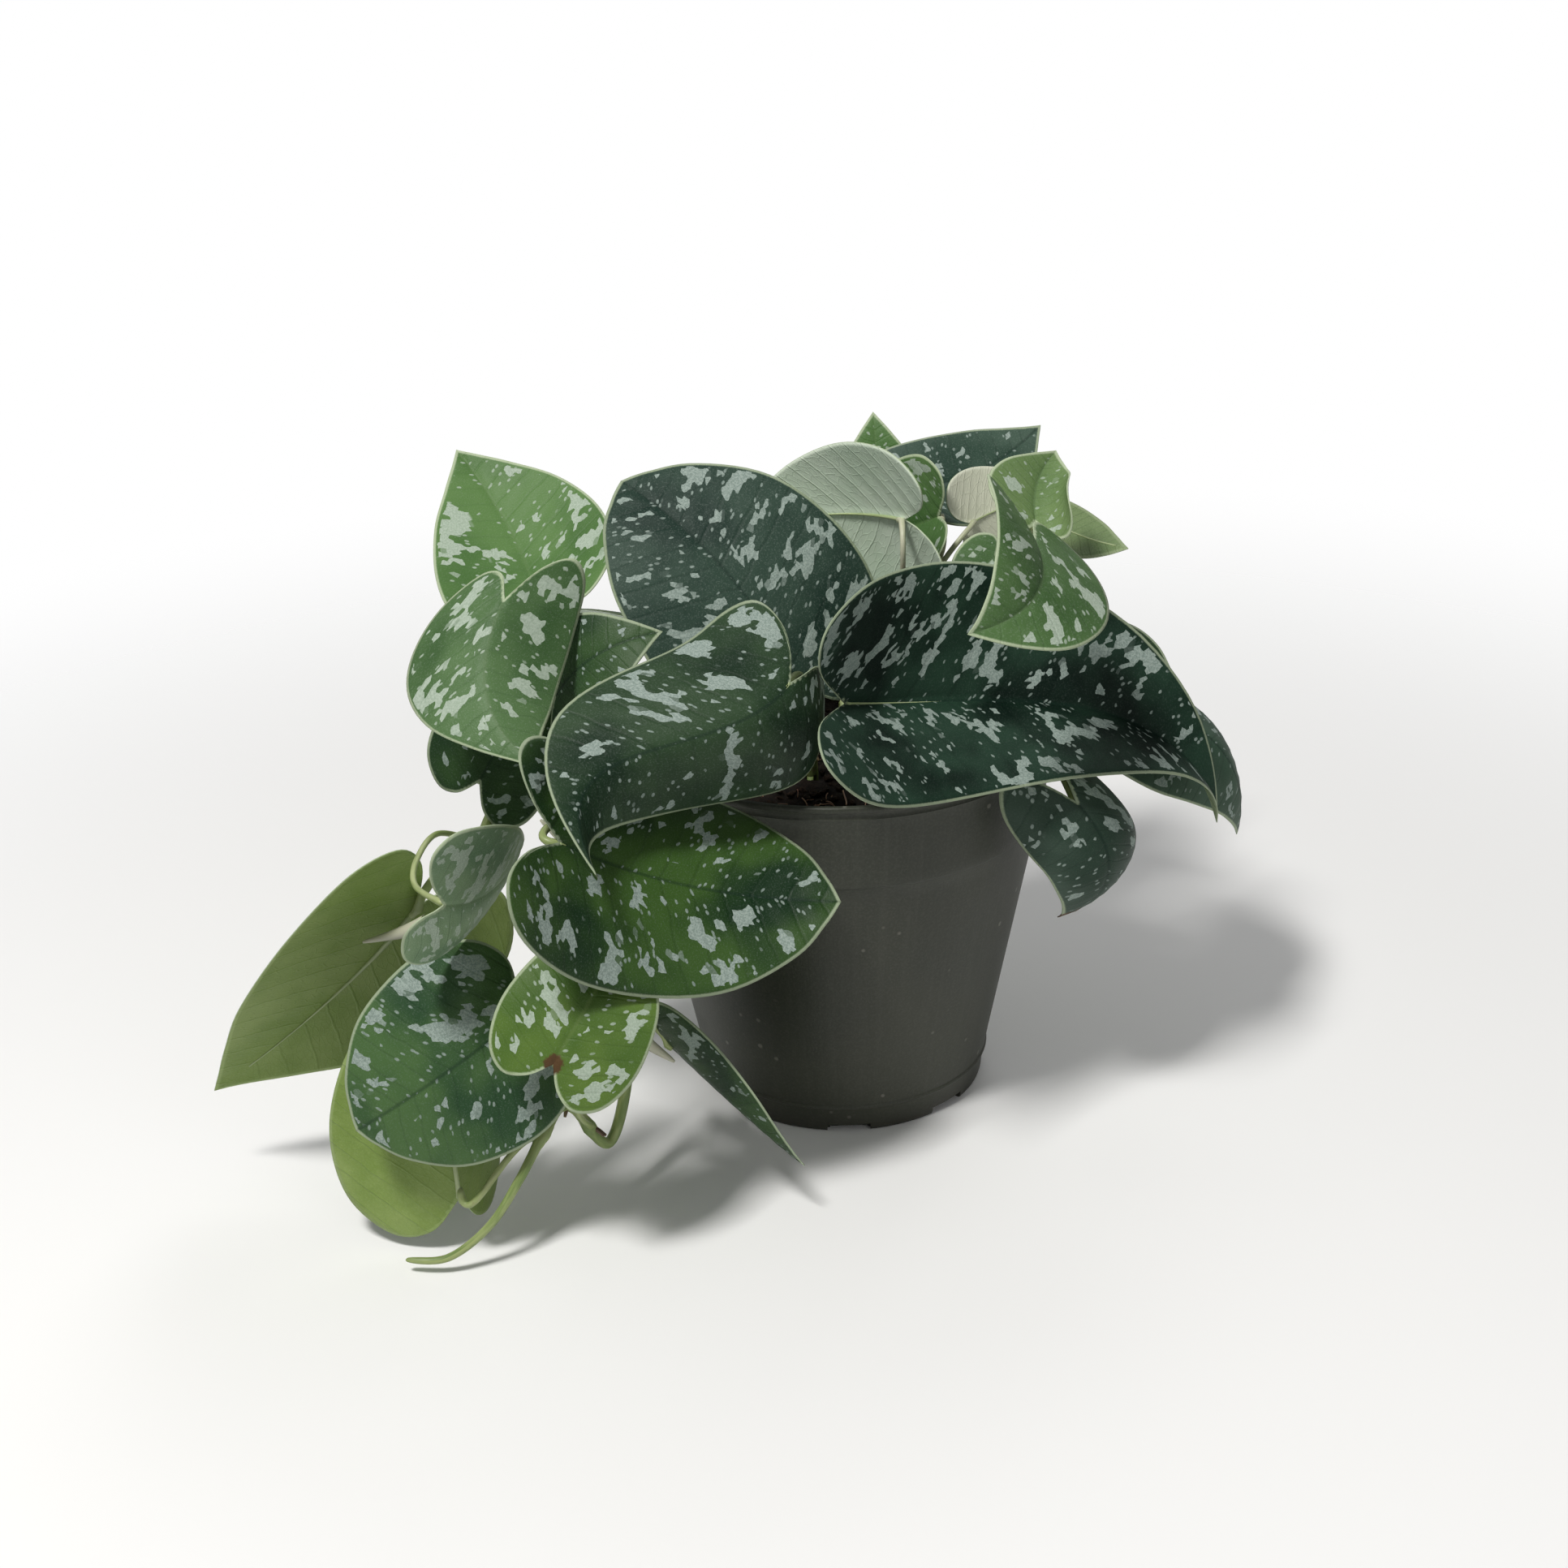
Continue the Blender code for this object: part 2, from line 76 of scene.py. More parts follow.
def area_light(name, place, target, size, energy, colour=(1.0, 1.0, 1.0)):
    data = bpy.data.lights.new(name, "AREA")
    data.shape = "SQUARE"
    data.size = size
    data.energy = energy
    data.color = colour
    lamp = bpy.data.objects.new(name, data)
    lamp.location = place
    aim = Vector(target) - Vector(place)
    lamp.rotation_euler = aim.to_track_quat("-Z", "Y").to_euler()
    bpy.context.scene.collection.objects.link(lamp)


def make_world(ambient_strength, backdrop_strength):
    """White surroundings, dimmer as a light than as the backdrop that the camera sees."""
    world = bpy.data.worlds.new("studio")
    world.use_nodes = True
    nodes = world.node_tree.nodes
    links = world.node_tree.links
    ambient = nodes["Background"]
    backdrop = nodes.new("ShaderNodeBackground")
    for shade, strength in ((ambient, ambient_strength), (backdrop, backdrop_strength)):
        shade.inputs["Color"].default_value = (1.0, 1.0, 1.0, 1.0)
        shade.inputs["Strength"].default_value = strength
    seen = nodes.new("ShaderNodeLightPath")
    choose = nodes.new("ShaderNodeMixShader")
    links.new(seen.outputs["Is Camera Ray"], choose.inputs[0])
    links.new(ambient.outputs[0], choose.inputs[1])
    links.new(backdrop.outputs[0], choose.inputs[2])
    links.new(choose.outputs[0], nodes["World Output"].inputs["Surface"])
    bpy.context.scene.world = world


make_camera()
bpy.context.scene.view_settings.view_transform = "Standard"
area_light("key", (-0.40, -0.58, 1.20), (0.0, -0.02, 0.10), 0.22, 14.0, (1.0, 0.985, 0.96))
area_light("fill", (0.60, -1.05, 0.60), (0.0, 0.0, 0.08), 0.6, 1.3)
area_light("back", (0.25, 0.95, 0.85), (0.0, 0.0, 0.12), 0.7, 3.0)
make_world(0.23, 1.0)


# ---------------------------------------- shader helper

class Net:
    """A Principled material and short ways to add nodes to it."""

    def __init__(self, name, roughness=0.5, **constants):
        self.mat = bpy.data.materials.new(name)
        self.mat.use_nodes = True
        self.tree = self.mat.node_tree
        self.bsdf = self.tree.nodes["Principled BSDF"]
        self.bsdf.inputs["Roughness"].default_value = roughness
        for socket, value in constants.items():
            self.bsdf.inputs[socket.replace("_", " ")].default_value = value

    def put(self, socket, value):
        """Link a node's output to a socket, or set the socket to a plain value."""
        if hasattr(value, "is_output"):
            self.tree.links.new(value, socket)
        elif socket.type == "RGBA":
            socket.default_value = (*value, 1.0)
        else:
            socket.default_value = value

    def add(self, kind, inputs=(), **settings):
        """A node with these settings, its named or numbered inputs linked or set."""
        node = self.tree.nodes.new("ShaderNode" + kind)
        for key, value in settings.items():
            setattr(node, key, value)
        for key, value in dict(inputs).items():
            self.put(node.inputs[key], value)
        return node

    def math(self, operation, *values):
        return self.add("Math", enumerate(values), operation=operation).outputs[0]

    def times(self, a, b):
        return self.math("MULTIPLY", a, b)

    def times_add(self, a, b, c):
        return self.math("MULTIPLY_ADD", a, b, c)

    def step(self, value, low, high, to_low=0.0, to_high=1.0):
        """A smooth change from to_low to to_high as the value goes from low to high."""
        sockets = {"Value": value, "From Min": low, "From Max": high,
                   "To Min": to_low, "To Max": to_high}
        return self.add("MapRange", sockets, interpolation_type="SMOOTHSTEP").outputs["Result"]

    def mix(self, fac, a, b):
        return self.add("Mix", {"Factor": fac, 6: a, 7: b}, data_type="RGBA").outputs[2]

    def tint(self, base, mask, amount, colour):
        """Lay this amount of a colour over base where the mask is 1."""
        return self.mix(self.times(mask, amount), base, colour)

    def vector(self, x, y, z=0.0):
        return self.add("CombineXYZ", enumerate((x, y, z))).outputs[0]

    def split(self, vector):
        return self.add("SeparateXYZ", {0: vector}).outputs

    def noise(self, vector, scale, detail=2.0, roughness=0.5):
        sockets = {"Vector": vector, "Scale": scale, "Detail": detail, "Roughness": roughness}
        return self.add("TexNoise", sockets).outputs[0]

    def cells(self, vector, feature="F1", dims="2D", scale=1.0):
        sockets = {"Vector": vector, "Scale": scale}
        return self.add("TexVoronoi", sockets, voronoi_dimensions=dims, feature=feature).outputs

    def uv(self, name):
        u, v, _ = self.split(self.add("UVMap", uv_map=name).outputs[0])
        return u, v

    def place(self):
        return self.add("TexCoord").outputs["Object"]

    def bump(self, height, strength, distance):
        sockets = {"Height": height, "Strength": strength, "Distance": distance}
        self.put(self.bsdf.inputs["Normal"], self.add("Bump", sockets).outputs[0])

    def colour(self, value):
        self.put(self.bsdf.inputs["Base Color"], value)

    def rough(self, value):
        self.put(self.bsdf.inputs["Roughness"], value)


# ---------------------------------------- plant materials

RELIEF = 0.0003         # bump distance on leaves and stems, in metres
VEINS = 9.0             # side veins along a blade
VEIN_SLOPE = 0.75       # how far a side vein runs forward for each mm outward
BLOTCH_SLOPE = 0.42     # the same for the rows of silver blotches
CELL_WIDE = 1.9         # size of the cells that the blotches are made of
CELL_LONG = 1.5


def blade_coordinates(net, seed, slope):
    """Place on the flat blade, margin distance, distance across, side, and forward line."""
    u, v = net.uv("blade")
    margin, _ = net.uv("rim")
    across = net.math("ABSOLUTE", u)
    side = net.math("SIGN", u)
    wobble = net.times_add(net.noise(net.vector(u, v, seed), 0.09), 3.0, -1.5)
    along = net.math("SUBTRACT", v, net.times(across, slope))
    return u, v, margin, across, side, net.math("ADD", along, wobble)


def side_veins(net, along, length, wide):
    """1 on the side veins of a blade, fading to 0 within this part of their spacing."""
    turn = net.math("FRACT", net.math("DIVIDE", along, length / VEINS))
    return net.step(net.math("ABSOLUTE", net.math("SUBTRACT", turn, 0.5)), 0.0, wide, 1.0, 0.0)


def upper_material(name, look, seed, length):
    """Velvety upper side: green ground, silver blotches along the veins, pale margin."""
    net = Net(name, Sheen_Weight=look.get("sheen", 0.0), Sheen_Roughness=0.45,
              Specular_IOR_Level=look.get("gloss", 0.16))
    u, v, margin, across, side, along = blade_coordinates(net, seed, BLOTCH_SLOPE)
    grain = net.noise(net.vector(u, v, seed + 3.0), 2.4, 2.0, 0.7)
    broad = net.step(net.noise(net.vector(u, v, seed + 9.0), 0.045), 0.35, 0.65)
    ground = net.mix(broad, look["low"], look["high"])
    near_rim = net.step(margin, 0.5, 9.0, 1.0, 0.0)
    ground = net.tint(ground, near_rim, look.get("rim_glow", 0.35), look["high"])
    # side veins: fine slightly darker lines that curve forward from the midrib
    line = side_veins(net, along, length, 0.10)
    ground = net.tint(ground, line, 0.14, look["vein"])
    ground = net.tint(ground, net.step(grain, 0.50, 0.72), look["fleck"], look["silver"])
    # silver blotches: whole small cells switched on in clusters
    ragged = net.times_add(net.noise(net.vector(u, v, seed + 5.0), 0.7, 2.0, 0.6), 2.0, -1.0)
    cell_u = net.times_add(across, 1.0 / CELL_WIDE, net.times(ragged, 0.20))
    cell_v = net.times_add(along, 1.0 / CELL_LONG, net.times(ragged, 0.25))
    cell_u = net.times_add(side, 23.0 + seed, cell_u)
    cell = net.cells(net.vector(cell_u, cell_v))
    chance = net.split(cell["Color"])
    centre = net.split(cell["Position"])
    island = net.noise(net.vector(net.times(centre[0], 0.22), net.times(centre[1], 0.26), seed),
                       1.0, 1.0)
    island = net.times_add(chance[0], 0.15, island)
    island = net.math("SUBTRACT", island, net.step(across, 1.0, look.get("clear", 6.0), 0.16, 0.0))
    island = net.math("SUBTRACT", island, net.step(margin, 0.6, 2.2, 0.20, 0.0))
    blotch = net.step(island, look["level"], look["level"] + 0.012)
    # single round spots between the clusters
    spot = net.cells(net.vector(net.times_add(side, 31.0, net.math("DIVIDE", across, 1.7)),
                                net.math("DIVIDE", along, 1.1), seed))
    spots = net.times(net.step(net.split(spot["Color"])[1], 0.90, 0.92),
                      net.step(spot["Distance"], 0.25, 0.42, 1.0, 0.0))
    spots = net.times(spots, net.step(margin, 0.8, 2.0))
    blotch = net.math("MAXIMUM", blotch, net.times(spots, 0.8))
    silver_grain = net.noise(net.vector(u, v, seed + 1.0), 1.9, 2.0, 0.85)
    silver = net.mix(net.step(silver_grain, 0.38, 0.62), look["silver"], look["silver_dim"])
    whole = net.tint(ground, blotch, 0.94, silver)
    # midrib groove and pale margin
    whole = net.tint(whole, net.step(across, 0.1, 0.8, 1.0, 0.0), 0.45, look["rib"])
    rim = net.step(net.times_add(grain, 0.4, margin), 0.65, 1.15, 1.0, 0.0)
    whole = net.tint(whole, rim, 0.85, look["rim"])
    for mark_u, mark_v, size, colour in look.get("marks", ()):
        du = net.math("SUBTRACT", u, mark_u)
        dv = net.math("SUBTRACT", v, mark_v)
        far = net.math("SQRT", net.math("ADD", net.times(du, du), net.times(dv, dv)))
        far = net.math("ADD", far, net.times(ragged, size * 0.35))
        whole = net.mix(net.step(far, size * 0.75, size, 1.0, 0.0), whole, colour)
    net.colour(whole)
    net.rough(net.times_add(blotch, 0.10, 0.44))
    relief = net.times_add(line, -0.45, net.times(grain, 0.5))
    net.bump(net.math("ADD", relief, net.times(blotch, 0.35)), 0.55, RELIEF)
    return net.mat


def under_material(name, look, seed, length):
    """Smooth paler underside with a darker net of veins."""
    net = Net(name, roughness=0.52, Sheen_Weight=0.03, Specular_IOR_Level=0.35)
    u, v, margin, across, _, along = blade_coordinates(net, seed, VEIN_SLOPE)
    broad = net.step(net.noise(net.vector(u, v, seed), 0.05, 3.0), 0.32, 0.68)
    ground = net.mix(broad, look["low"], look["high"])
    line = side_veins(net, along, length, 0.07)
    mesh = net.cells(net.vector(net.math("DIVIDE", across, 3.0), net.math("DIVIDE", along, 2.0)),
                     "DISTANCE_TO_EDGE")
    fine = net.step(mesh["Distance"], 0.0, 0.10, 1.0, 0.0)
    ground = net.tint(ground, line, 0.22, look["vein"])
    ground = net.tint(ground, fine, 0.12, look["vein"])
    grain = net.noise(net.vector(u, v, seed + 3.0), 2.0, 3.0, 0.7)
    ground = net.mix(net.step(grain, 0.4, 0.75, 0.0, 0.22), ground, look["rim"])
    rim = net.step(margin, 0.6, 1.2, 1.0, 0.0)
    net.colour(net.tint(ground, rim, 0.55, look["rim"]))
    relief = net.math("ADD", net.times(line, 0.8), net.times(fine, 0.3))
    net.bump(net.times_add(grain, 0.3, relief), 0.5, RELIEF)
    return net.mat


def stalk_material(name, low, high, scar):
    """Smooth stalk skin, streaked along its length, browner at odd spots."""
    net = Net(name, roughness=0.42, Specular_IOR_Level=0.45, Subsurface_Weight=0.08,
              Subsurface_Radius=(0.002, 0.003, 0.001))
    turn, run = net.uv("tube")
    streak = net.noise(net.vector(net.times(turn, 2.5), net.times(run, 0.06)), 1.0, 3.0, 0.6)
    body = net.mix(net.step(streak, 0.35, 0.65), low, high)
    blotch = net.noise(net.place(), 160.0, 3.0, 0.65)
    net.colour(net.mix(net.step(blotch, 0.62, 0.72, 0.0, 0.55), body, scar))
    net.bump(net.math("ADD", streak, net.times(blotch, 0.5)), 0.35, RELIEF)
    return net.mat


# ---------------------------------------- colours of the leaves

SILVER = (0.345, 0.415, 0.375)
SILVER_DIM = (0.215, 0.275, 0.245)
BROWN = (0.09, 0.05, 0.022)

DARK = {"low": (0.003, 0.0115, 0.007), "high": (0.018, 0.046, 0.028),
        "vein": (0.003, 0.01, 0.007), "silver": SILVER, "silver_dim": SILVER_DIM,
        "rib": (0.006, 0.02, 0.013), "rim": (0.36, 0.43, 0.29), "fleck": 0.05,
        "gloss": 0.1, "level": 0.668}
# lighter copies of DARK with painted light, for leaves that lie in the shade of the leaves above;
# the second also has a brown tip
DARK_GREY_PAINTED_LIT = dict(DARK, low=(0.038, 0.074, 0.048), high=(0.078, 0.126, 0.088))
DARK_TIP_PAINTED_LIT = dict(DARK, low=(0.026, 0.05, 0.034), high=(0.058, 0.09, 0.068),
                marks=((0.0, 39.0, 5.0, BROWN),))
DARK_TEAL = dict(DARK, low=(0.022, 0.05, 0.034), high=(0.056, 0.096, 0.07), fleck=0.12)
DARK_BLUE = dict(DARK, low=(0.013, 0.032, 0.023), high=(0.034, 0.064, 0.046), fleck=0.14,
                 sheen=0.03, level=0.66)
DARK_GREEN = dict(DARK, low=(0.012, 0.036, 0.014), high=(0.038, 0.082, 0.026), fleck=0.1,
                  rim_glow=0.15, gloss=0.16)
DARK_OLIVE = dict(DARK_GREEN, low=(0.008, 0.025, 0.011), high=(0.029, 0.06, 0.026))
RIM_GREEN = dict(DARK_GREEN, low=(0.006, 0.026, 0.008), high=(0.042, 0.094, 0.018), level=0.68)
DARK_BARS = dict(DARK_GREEN, low=(0.022, 0.062, 0.024), high=(0.066, 0.134, 0.044), level=0.645)
MID = {"low": (0.044, 0.1, 0.032), "high": (0.09, 0.17, 0.064), "vein": (0.03, 0.074, 0.026),
       "silver": (0.44, 0.52, 0.43), "silver_dim": (0.33, 0.41, 0.32),
       "rib": (0.11, 0.18, 0.08), "rim": (0.47, 0.55, 0.37), "fleck": 0.14, "level": 0.65,
       "clear": 4.0}
MID_RIGHT = dict(MID, low=(0.05, 0.11, 0.034), high=(0.085, 0.165, 0.056), level=0.64)
LIGHT_GREEN = dict(MID, low=(0.06, 0.14, 0.036), high=(0.105, 0.205, 0.062),
                   vein=(0.046, 0.11, 0.03), rib=(0.11, 0.195, 0.068), fleck=0.1, clear=9.0)
YELLOW_GREEN = dict(MID, low=(0.05, 0.11, 0.018), high=(0.11, 0.19, 0.036),
                    vein=(0.042, 0.086, 0.016), rib=(0.13, 0.2, 0.06), fleck=0.08, level=0.69,
                    marks=((0.0, 0.0, 2.6, BROWN),))
YOUNG = dict(MID, low=(0.11, 0.19, 0.066), high=(0.18, 0.27, 0.105), level=0.66)
BLUE_GREEN = dict(MID, low=(0.125, 0.215, 0.12), high=(0.225, 0.325, 0.185),
                  vein=(0.07, 0.125, 0.075), fleck=0.22, level=0.66)

UNDER_PALE = {"low": (0.56, 0.69, 0.54), "high": (0.68, 0.79, 0.65),
              "vein": (0.5, 0.62, 0.46), "rim": (0.76, 0.84, 0.7)}
UNDER_BEIGE = {"low": (0.56, 0.59, 0.45), "high": (0.66, 0.68, 0.54),
               "vein": (0.49, 0.51, 0.37), "rim": (0.74, 0.76, 0.62)}
# the underside's own yellow-green, made brighter with painted light shining through the leaf from
# behind
UNDER_YELLOW_PAINTED_BACKLIGHT = {"low": (0.15, 0.235, 0.036), "high": (0.22, 0.305, 0.078),
                "vein": (0.12, 0.205, 0.03), "rim": (0.33, 0.43, 0.17)}
UNDER_GREEN = {"low": (0.11, 0.175, 0.066), "high": (0.185, 0.26, 0.11),
               "vein": (0.088, 0.142, 0.05), "rim": (0.32, 0.39, 0.225)}


# ---------------------------------------- mesh helpers

def piece(name, bm, materials, nodes):
    """Put a mesh in the scene as one smooth piece riding on the plant's only body."""
    mesh = bpy.data.meshes.new(name)
    bm.to_mesh(mesh)
    bm.free()
    obj = bpy.data.objects.new(name, mesh)
    for mat in materials:
        mesh.materials.append(mat)
    mesh.shade_smooth()
    bpy.context.scene.collection.objects.link(obj)
    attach(obj, "root")
    if nodes:
        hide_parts(*nodes)
    return obj


def spline_point(points, i, t):
    """Point a part t of the way from point i to the next, on a smooth line through all."""
    p0 = Vector(points[max(i - 1, 0)])
    p1 = Vector(points[i])
    p2 = Vector(points[i + 1])
    p3 = Vector(points[min(i + 2, len(points) - 1)])
    a = 2 * p1 + (p2 - p0) * t
    b = (2 * p0 - 5 * p1 + 4 * p2 - p3) * t * t
    c = (3 * p1 - 3 * p2 + p3 - p0) * t * t * t
    return (a + b + c) * 0.5


def catmull(points, per):
    """Points along a smooth line through the given ones, per steps each."""
    line = [spline_point(points, i, s / per) for i in range(len(points) - 1) for s in range(per)]
    return line + [Vector(points[-1])]


def sweep_tube(bm, route, radius, slot, sides):
    """A closed tube along a route in mm; radius(i) is its size at point i."""
    uv = bm.loops.layers.uv.get("tube") or bm.loops.layers.uv.new("tube")
    runs = [0.0]
    for a, b in zip(route, route[1:]):
        runs.append(runs[-1] + (b - a).length)
    rings = []
    tangent = (route[1] - route[0]).normalized()
    normal = tangent.orthogonal().normalized()
    for i, p in enumerate(route):
        ahead = route[min(i + 1, len(route) - 1)] - route[max(i - 1, 0)]
        new = ahead.normalized()
        normal = tangent.rotation_difference(new) @ normal
        normal = (normal - new * normal.dot(new)).normalized()
        tangent = new
        binormal = tangent.cross(normal)
        r = radius(i)
        ring = []
        for s in range(sides):
            angle = 2.0 * math.pi * s / sides
            reach = normal * (math.cos(angle) * r) + binormal * (math.sin(angle) * r)
            ring.append(bm.verts.new((p + reach) * MM))
        rings.append(ring)
    for i in range(len(rings) - 1):
        for s in range(sides):
            n = (s + 1) % sides
            face = bm.faces.new((rings[i][s], rings[i][n], rings[i + 1][n], rings[i + 1][s]))
            face.material_index = slot
            around = (s / sides, (s + 1) / sides, (s + 1) / sides, s / sides)
            along = (runs[i], runs[i], runs[i + 1], runs[i + 1])
            for loop, a, b in zip(face.loops, around, along):
                loop[uv].uv = (a, b)
    for ring, run in ((rings[0][::-1], runs[0]), (rings[-1], runs[-1])):
        face = bm.faces.new(ring)
        face.material_index = slot
        for loop in face.loops:
            loop[uv].uv = (0.0, run)


# ---------------------------------------- blades

# half outline of a blade one long and one wide: along the midrib, then across
HEART = (
    (0.00, 0.00), (-0.16, 0.12), (-0.20, 0.28), (-0.08, 0.44), (0.12, 0.50),
    (0.35, 0.48), (0.60, 0.37), (0.80, 0.20), (0.93, 0.07), (1.00, 0.00),
)
# the same for the rounder, short-pointed blades
ROUND = (
    (0.00, 0.00), (-0.13, 0.11), (-0.19, 0.27), (-0.10, 0.43), (0.12, 0.51),
    (0.38, 0.50), (0.66, 0.42), (0.87, 0.25), (0.96, 0.10), (1.00, 0.00),
)
LIGHT = Vector((0.0, -0.917, 0.400))    # the way that upper sides face before their turn
ROWS = 56               # mesh rows from the sinus to the tip
HALF = 20               # mesh columns from the midrib to each margin
BLADE_T = 0.55          # thickness of a blade, and of its margin
MARGIN_T = 0.28
MARGIN_WIDE = 1.5       # distance over which a blade thins to its margin
FLAT = 1e-5             # least bend, which keeps its radius finite
ARCH = 4.0              # scales of the bow and the hook along a blade
HOOK = 2.1
GROOVE_DEPTH = 0.55     # midrib groove on a blade 60 mm long
GROOVE_WIDE = 1.3
QUILT = 0.14            # lift of the blade between its side veins
RIPPLE = 0.6            # lift of the waved margin
RIPPLE_TURNS = 2.4
RIB_STEPS = 24


def outline_at(outline, k):
    """Point of a half outline, k running from sinus to tip."""
    f = min(max(k, 0.0), 1.0) * (len(outline) - 1)
    i = min(int(f), len(outline) - 2)
    return spline_point(outline, i, f - i)


def blade_axes(base, tip, turn):
    """Length, forward, upper-side and sideways directions of a blade."""
    along = tip - base
    length = along.length
    along = along / length
    up = (LIGHT - along * LIGHT.dot(along)).normalized()
    side = along.cross(up)
    angle = math.radians(turn)
    up = up * math.cos(angle) + side * math.sin(angle)
    return length, along, up, along.cross(up)


def blade_point(spec, k, j):
    """Point of the blade: k from sinus (0) to tip (1), j across from -1 to 1."""
    length, along, up, side = spec["axes"]
    reach = abs(j)
    sign = 1.0 if j > 0 else -1.0
    edge = outline_at(spec["outline"], k)
    x = k ** 1.5 * (1.0 - reach) + edge.x * reach
    y = edge.y * spec["width"] * reach
    bend = (spec["curl"] + sign * spec["dcurl"]) / (spec["width"] * 0.5)
    if abs(bend) < FLAT:
        bend = FLAT
    start = spec["fold"] + sign * spec["dfold"]
    end = start + bend * y
    across = (math.sin(end) - math.sin(start)) / bend
    lift = (math.cos(start) - math.cos(end)) / bend
    xc = max(x, 0.0)
    arch = ARCH * x * (1.0 - x)
    hook = HOOK * (x - xc ** 4)
    slope = spec["bow"] * ARCH * (1.0 - 2.0 * x) + spec["hook"] * HOOK * (1.0 - 4.0 * xc ** 3)
    pitch = math.atan(slope)
    normal = up * math.cos(pitch) - along * math.sin(pitch)
    spine = spec["base"] + along * (x * length)
    spine = spine + up * (length * (spec["bow"] * arch + spec["hook"] * hook))
    spine = spine + side * (length * (spec["sweep"] * arch + spec["veer"] * hook))
    # midrib groove, quilting between the side veins and a gently waved margin
    small = min(length, spec["width"]) / 60.0
    groove = math.exp(-(y / (GROOVE_WIDE * small)) ** 2)
    lift -= GROOVE_DEPTH * small * groove * (1.0 - 0.7 * xc)
    vein = (x * length - VEIN_SLOPE * y) / (length / VEINS)
    quilt = math.sin(math.pi * min(reach, 1.0)) * small
    lift += QUILT * quilt * math.cos(2.0 * math.pi * vein)
    wave = spec["seed"] + RIPPLE_TURNS * math.pi * k * (1.3 if sign > 0 else 1.0)
    lift += RIPPLE * small * reach ** 3 * math.sin(wave) * math.sin(math.pi * k)
    point = spine + side * (sign * across) + normal * lift
    return point, sign * y, x * length


def blade_grid(spec):
    """A blade's middle surface, each vertex's place on the flat blade, and margin distance."""
    grid = bmesh.new()
    place = {}
    rows = []
    for a in range(ROWS + 1):
        at_end = a in (0, ROWS)
        row = []
        for b in (0,) if at_end else range(-HALF, HALF + 1):
            point, u, v = blade_point(spec, a / ROWS, b / HALF)
            vert = grid.verts.new(point)
            place[vert] = (u, v)
            row.append(vert)
        rows.append(row * (2 * HALF + 1) if at_end else row)
    for a in range(ROWS):
        for b in range(2 * HALF):
            corner = [rows[a][b], rows[a][b + 1], rows[a + 1][b + 1], rows[a + 1][b]]
            grid.faces.new(list(dict.fromkeys(corner)))
    grid.verts.index_update()
    grid.normal_update()
    flat = np.array([place[v] for v in grid.verts])
    margins = np.array([(abs(place[rows[a][b]][0]) * s, place[rows[a][b]][1])
                        for a in range(ROWS + 1) for b, s in ((0, -1.0), (2 * HALF, 1.0))])
    gap = np.linalg.norm(flat[:, None, :] - margins[None, :, :], axis=2).min(axis=1)
    return grid, flat, gap


def add_rib(bm, spec):
    """The raised midrib under a blade, thinning towards the tip."""
    facing = spec["axes"][2]
    small = spec["axes"][0] / 90.0
    route = []
    for i in range(RIB_STEPS + 1):
        k = 0.02 + 0.88 * i / RIB_STEPS
        here, _, _ = blade_point(spec, k, 0.0)
        ahead, _, _ = blade_point(spec, k + 0.01, 0.0)
        aside, _, _ = blade_point(spec, k, 0.04)
        below = (ahead - here).cross(aside - here).normalized()
        if below.dot(facing) > 0.05:
            below = -below
        route.append(here + below * (0.30 + 0.25 * small * (1.0 - k)))
    sweep_tube(bm, route, lambda i: max(0.22, small * (1.0 - 0.95 * i / RIB_STEPS)), 2, 8)


def blade_mesh(spec):
    """Closed thin shell: upper side, underside, thin rim and a raised rib below."""
    grid, flat, gap = blade_grid(spec)
    flip = sum((v.normal for v in grid.verts), Vector()).dot(spec["axes"][2]) < 0.0
    bm = bmesh.new()
    uv = bm.loops.layers.uv.new("blade")
    rim_uv = bm.loops.layers.uv.new("rim")
    tops = []
    lows = []
    for v, near in zip(grid.verts, gap):
        normal = -v.normal if flip else v.normal
        half = 0.5 * (MARGIN_T + (BLADE_T - MARGIN_T) * min(1.0, near / MARGIN_WIDE))
        tops.append(bm.verts.new((v.co + normal * half) * MM))
        lows.append(bm.verts.new((v.co - normal * half) * MM))

    def face(corners, places, slot, gaps):
        made = bm.faces.new(corners)
        made.material_index = slot
        for loop, i in zip(made.loops, places):
            loop[uv].uv = tuple(flat[i])
            loop[rim_uv].uv = (gaps[i], 0.0)

    for f in grid.faces:
        order = [v.index for v in f.verts]
        if flip:
            order.reverse()
        face([tops[i] for i in order], order, 0, gap)
        order.reverse()
        face([lows[i] for i in order], order, 1, gap)
    no_gap = np.zeros(len(gap))
    for e in grid.edges:
        if len(e.link_faces) != 1:
            continue
        loop = next(corner for corner in e.link_faces[0].loops if corner.edge == e)
        a = loop.vert.index
        b = loop.link_loop_next.vert.index
        if flip:
            a, b = b, a
        face((tops[b], tops[a], lows[a], lows[b]), (b, a, a, b), 0, no_gap)
    grid.free()
    add_rib(bm, spec)
    return bm


petioles = {}


